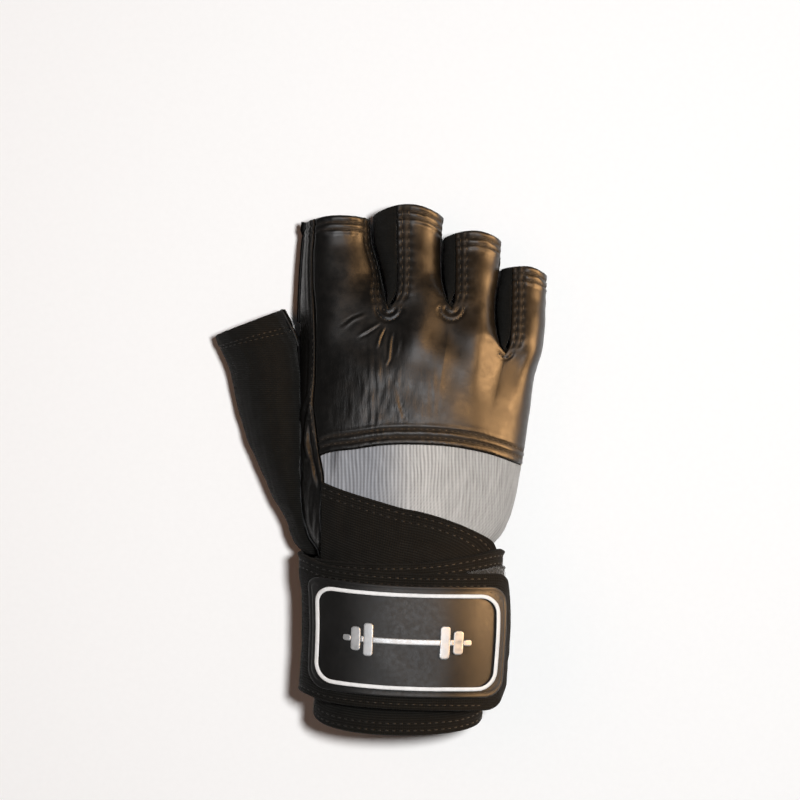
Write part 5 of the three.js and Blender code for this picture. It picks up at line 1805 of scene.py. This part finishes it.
def colour_value(name, description, *colour):
    """A colour that a user can change."""
    return FloatVectorProperty(name=name, description=description, subtype="COLOR", default=colour)


def length_value(name, description, default, unit="LENGTH"):
    """A length or a power that a user can change."""
    return FloatProperty(name=name, description=description, unit=unit, default=default)


class GloveColours(bpy.types.PropertyGroup):
    """Colours of the glove's materials."""

    leather: colour_value("Leather", "Black of the leather", 0.0032, 0.0031, 0.0029)
    # This brown is the colour of the painted warm reflection on the knuckle leather, not of the leather
    # itself
    leather_painted_sheen: colour_value("Leather brown", "Brown that the leather warms to", 0.016, 0.0095, 0.0045)
    grey: colour_value("Grey fabric", "Grey of the ribbed fabric", 0.40, 0.385, 0.37)
    cloth: colour_value("Black cloth", "Black of the cloth and the strap", 0.0075, 0.0076, 0.0070)
    thread: colour_value("Thread", "Colour of the stitches", 0.012, 0.011, 0.010)
    rubber: colour_value("Rubber", "Grey of the patch", 0.007, 0.007, 0.007)
    border: colour_value("Border", "White of the line round the patch", 0.80, 0.80, 0.80)
    emblem: colour_value("Emblem", "Silver of the barbell", 0.50, 0.51, 0.52)


class GloveSizes(bpy.types.PropertyGroup):
    """Sizes of the glove's fine detail."""

    rib_pitch: length_value("Rib pitch", "Distance between ribs of the grey fabric", 0.0013)
    rib_rise: length_value("Rib rise", "Height of the ribs of the grey fabric", 0.0002)


class GloveStage(bpy.types.PropertyGroup):
    """Camera, floor and lights."""

    lens: length_value("Lens", "Focal length", 142.8, unit="CAMERA")
    camera_height: length_value("Camera height", "Height of the camera over the floor", 1.2)
    key_power: length_value("Key light", "Power of the main light", 13.5, unit="POWER")
    warm_power: length_value("Warm light", "Power of the warm light seen in the leather", 5.3, unit="POWER")
    sky: FloatProperty(name="Sky", description="Brightness of the soft light all round", default=0.055)


class GloveOperator:
    """What every operator of the glove shares."""

    bl_options = {"REGISTER", "UNDO"}

    def colour(self, name):
        """One of the glove's colours."""
        return tuple(getattr(bpy.context.scene.glove_colours, name))

    def cloth(self, name, **weave):
        """A black cloth, made once."""
        return made_once("finished_" + name, black_cloth_finish, self.colour("cloth"), **weave)

    def thread(self):
        """The stitches' yarn, made once."""
        fibres = {"pitch": 3.0, "depth": 0.05, "wear": 0.3}
        return made_once("thread", plain_finish, self.colour("thread"), 0.5, **fibres)

    def palm(self):
        """The half matte leather, made once."""
        return made_once("finished_palm_leather", palm_leather_finish, self.colour("leather"))

    def sew(self, name, slot, skin, lines, look):
        """One piece of stitches along lines on a skin."""
        threads = Threads()
        for line in lines:
            threads.sew(skin, line, STITCHES[look])
        threads.piece(name, self.thread(), slot)


class GLOVE_OT_stage(GloveOperator, bpy.types.Operator):
    """Camera straight over the glove, a pale floor and soft studio light"""

    bl_idname = "glove.stage"
    bl_label = "Stage"

    CAMERA_X = 7.22
    CAMERA_Y = 24.8
    SENSOR = 36.0
    FLOOR_REACH = 3.0
    FLOOR_LEVEL = -0.0005
    PAPER = (0.93, 0.93, 0.935)
    SKY = (0.93, 0.96, 1.0, 1.0)
    WHITE = (1.0, 1.0, 0.99)
    COOL = (0.95, 0.97, 1.0)
    EMBER = (1.0, 0.42, 0.14)
    AMBER = (1.0, 0.57, 0.25)
    MIDDLE = (0.0, 0.0, 0.02)

    def add_light(self, name, size, power, colour, place, aim=MIDDLE, only_gloss=False):
        """A round area light turned towards a place, seen by the gloss alone or not by it at all."""
        light = bpy.data.lights.new(name, "AREA")
        light.shape = "DISK"
        light.size = size
        light.energy = power
        light.color = colour
        made = bpy.data.objects.new(name, light)
        bpy.context.scene.collection.objects.link(made)
        made.location = place
        towards = np.array(aim) - np.array(place)
        pitch = math.acos(-towards[2] / np.linalg.norm(towards))
        made.rotation_euler = (pitch, 0, math.atan2(-towards[0], towards[1]))
        made.visible_glossy, made.visible_diffuse = only_gloss, not only_gloss

    def add_floor(self):
        """A pale sheet under the glove, without gloss."""
        far, low = self.FLOOR_REACH, self.FLOOR_LEVEL
        sheet = bpy.data.meshes.new("floor")
        corners = [(-far, -far, low), (far, -far, low), (far, far, low), (-far, far, low)]
        sheet.from_pydata(corners, [], [(0, 1, 2, 3)])
        paper = plain_finish("floor", self.PAPER, 0.9, 0.5, 0.0, 0.01, specular_ior_level=0.0)
        sheet.materials.append(paper)
        floor = bpy.data.objects.new("floor", sheet)
        bpy.context.scene.collection.objects.link(floor)

    def execute(self, context):
        stage = context.scene.glove_stage
        camera = bpy.data.objects.new("camera", bpy.data.cameras.new("camera"))
        context.scene.collection.objects.link(camera)
        camera.data.lens = stage.lens
        camera.data.sensor_width = self.SENSOR
        camera.location = (self.CAMERA_X * MM, self.CAMERA_Y * MM, stage.camera_height)
        context.scene.camera = camera
        self.add_floor()

        context.scene.view_settings.view_transform = "Standard"
        self.add_light("key", 0.14, stage.key_power, self.WHITE, (0.20, 0.10, 1.15))
        self.add_light("overhead", 0.7, 8.0, self.COOL, (0.01, -0.06, 1.5), only_gloss=True)
        self.add_light("room", 0.8, 0.8, self.EMBER, (-0.70, 0.10, 0.75), aim=(-0.08, 0.0, 0.0))
        for name, size, share, place in (
            ("warm", 0.42, 1.0, (0.60, 0.10, 0.44)),
            ("warm_low", 0.50, 1.7, (0.78, 0.06, 0.22)),
            ("warm_high", 0.24, 0.40, (0.33, 0.16, 0.76)),
        ):
            self.add_light(name, size, share * stage.warm_power, self.AMBER, place, only_gloss=True)

        world = bpy.data.worlds.new("studio")
        world.use_nodes = True
        background = world.node_tree.nodes["Background"].inputs
        background["Color"].default_value = self.SKY
        background["Strength"].default_value = stage.sky
        context.scene.world = world
        return {"FINISHED"}


class GLOVE_OT_knuckle_leather(GloveOperator, bpy.types.Operator):
    """Glossy back leather with its hems, gathers, creases and stitches"""

    bl_idname = "glove.knuckle_leather"
    bl_label = "Knuckle leather"

    def execute(self, context):
        skin, strips = make_knuckle_leather()
        finish = knuckle_leather_finish(self.colour("leather"), self.colour("leather_painted_sheen"))
        add_skin("knuckle_leather", skin, finish, "knuckle_leather", "back_panel")
        sew_knuckle_leather(skin, strips).piece("knuckle_stitches", self.thread(), "knuckle_leather")
        return {"FINISHED"}


class GLOVE_OT_palm_leather(GloveOperator, bpy.types.Operator):
    """Palm leather and the folded side leather, with their stitches"""

    bl_idname = "glove.palm_leather"
    bl_label = "Palm and side leather"

    SEAM_FOOT = 12.0

    def execute(self, context):
        palm, strips = make_palm_leather()
        add_skin("palm_leather", palm, self.palm(), "palm_leather", "palm_panel")
        rows = [(strip["points"], strip["hem"], row) for strip in strips for row in HEM_ROWS]
        hems = [level_line(*row)[3:-3] for row in rows]
        self.sew("palm_stitches", "palm_leather", palm, hems, "palm_hem")

        side, points, to_hem = make_side_leather()
        add_skin("side_leather", side, self.palm(), "palm_leather", "side_strip")
        arc = running_length(points, 1)
        upper = points[:, points.shape[1] // 2, 1] > self.SEAM_FOOT
        seam = level_line(points[upper].transpose(1, 0, 2), (arc[:, -1:] - arc)[upper].T, SIDE_ROW)
        threads = Threads().sew(side, seam, STITCHES["side_seam"])
        for row in HEM_ROWS:
            threads.sew(side, level_line(points, to_hem, row)[2:-2], STITCHES["hem"])
        threads.piece("side_stitches", self.thread(), "palm_leather")
        return {"FINISHED"}


class GLOVE_OT_gussets(GloveOperator, bpy.types.Operator):
    """Matte fabric walls between the fingers"""

    bl_idname = "glove.gussets"
    bl_label = "Gussets"

    def execute(self, context):
        finish = self.cloth("gusset_fabric", rib=0.55, weave=0.55, sheen=0.036)
        for j, name in enumerate(("index_middle", "middle_ring", "ring_little")):
            add_skin(f"fabric_{name}", make_gusset(j), finish, "gusset_fabric", f"gusset_{name}")
        return {"FINISHED"}


class GLOVE_OT_grey_back(GloveOperator, bpy.types.Operator):
    """Grey ribbed fabric on the back of the hand"""

    bl_idname = "glove.grey_back"
    bl_label = "Grey back"

    def execute(self, context):
        sizes = context.scene.glove_sizes
        skin, width = make_grey_back(sizes.rib_pitch / MM, sizes.rib_rise / MM)
        finish = grey_cloth_finish(self.colour("grey"))
        piece = add_skin("grey_fabric", skin, finish, "grey_stretch", "hand_back")
        return {"FINISHED"}


class GLOVE_OT_thumb(GloveOperator, bpy.types.Operator):
    """Stretch fabric over the thumb, its leather inner side and its stitched hem"""

    bl_idname = "glove.thumb"
    bl_label = "Thumb"

    def execute(self, context):
        skin, points, to_hem = make_thumb_stall()
        stretch = self.cloth("black_stretch", rib=0.42, weave=0.8, sheen=0.042)
        add_skin("thumb_fabric", skin, stretch, "black_stretch", "thumb_stall")
        add_skin("thumb_leather", make_thumb_leather(), self.palm(), "palm_leather", "thumb_gusset")
        lines = [level_line(points, to_hem, row)[2:-2] for row in THUMB_ROWS]
        self.sew("thumb_stitches", "black_stretch", skin, lines, "thumb")
        return {"FINISHED"}


class GLOVE_OT_cuff(GloveOperator, bpy.types.Operator):
    """Inner layer round the wrist with its sewn edge"""

    bl_idname = "glove.cuff"
    bl_label = "Cuff"

    def execute(self, context):
        skin, lines = make_cuff()
        finish = self.cloth("cuff_fabric", rib=0.35, weave=0.5, sheen=0.024)
        add_skin("cuff", skin, finish, "cuff_fabric", "wrist_cuff")
        self.sew("cuff_stitches", "cuff_fabric", skin, lines, "cuff")
        return {"FINISHED"}


class GLOVE_OT_strap(GloveOperator, bpy.types.Operator):
    """Woven strap wound round the wrist, its stitches and its loop tape"""

    bl_idname = "glove.strap"
    bl_label = "Wrist strap"

    def execute(self, context):
        skin, lines = make_strap()
        finish = self.cloth("strap_webbing", rib=0.34, weave=0.34, sheen=0.0144)
        add_skin("strap", skin, finish, "strap_webbing", "wrist_strap")
        self.sew("strap_stitches", "strap_webbing", skin, lines, "strap")

        tape = make_loop_tape()
        loops = loop_finish(scaled(self.colour("cloth"), 1.8))
        add_skin("loop_tape", tape, loops, "loop_tape", "loop_pad")
        fuzz = Fuzz().scatter(tape, count=1500, reach=0.75, thick=0.055, seed=180)
        fuzz.piece("loop_fuzz", loops, "loop_tape")
        return {"FINISHED"}


class GLOVE_OT_patch(GloveOperator, bpy.types.Operator):
    """Rubber patch with its white line, stitches and a plain barbell"""

    bl_idname = "glove.patch"
    bl_label = "Patch"

    def execute(self, context):
        skin = make_patch()
        add_skin("rubber_patch", skin, rubber_finish(self.colour("rubber")), "patch_rubber", "patch")
        sewn = patch_point(*border_path(PATCH_ROW)[0].T, PATCH_RISE)
        self.sew("patch_stitches", "patch_rubber", skin, [sewn], "patch")
        white = plain_finish("border_white", self.colour("border"), 0.5)
        add_skin("border_line", make_border(), white, "border_white", "patch_border")
        silver = plain_finish("emblem_silver", self.colour("emblem"), 0.38, depth=0.03, metallic=0.55)
        add_object("barbell", *make_emblem(), silver, "emblem_silver", ("emblem",))
        return {"FINISHED"}


class GLOVE_PT_panel(bpy.types.Panel):
    """The glove's operators and values in the sidebar"""

    bl_idname = "GLOVE_PT_panel"
    bl_label = "Lifting Glove"
    bl_space_type = "VIEW_3D"
    bl_region_type = "UI"
    bl_category = "Glove"

    def draw(self, context):
        column = self.layout.column(align=True)
        for operator in OPERATORS:
            column.operator(operator.bl_idname)
        for group in (context.scene.glove_colours, context.scene.glove_sizes, context.scene.glove_stage):
            box = self.layout.box()
            for name in group.__annotations__:
                box.prop(group, name)


GROUPS = {"glove_colours": GloveColours, "glove_sizes": GloveSizes, "glove_stage": GloveStage}
OPERATORS = (
    GLOVE_OT_stage,
    GLOVE_OT_knuckle_leather,
    GLOVE_OT_palm_leather,
    GLOVE_OT_gussets,
    GLOVE_OT_grey_back,
    GLOVE_OT_thumb,
    GLOVE_OT_cuff,
    GLOVE_OT_strap,
    GLOVE_OT_patch,
)


def register():
    """Adds the groups of values, the operators and the panel."""
    for name, group in GROUPS.items():
        bpy.utils.register_class(group)
        setattr(bpy.types.Scene, name, PointerProperty(type=group))
    for made in (*OPERATORS, GLOVE_PT_panel):
        bpy.utils.register_class(made)


def unregister():
    """Takes away what register adds."""
    for made in reversed((*OPERATORS, GLOVE_PT_panel)):
        bpy.utils.unregister_class(made)
    for name, group in GROUPS.items():
        delattr(bpy.types.Scene, name)
        bpy.utils.unregister_class(group)


def main():
    """Makes the stage and every piece."""
    register()
    for operator in OPERATORS:
        getattr(bpy.ops.glove, operator.bl_idname.split(".")[1])()
    bpy.context.view_layer.update()


if __name__ == "__main__":
    main()
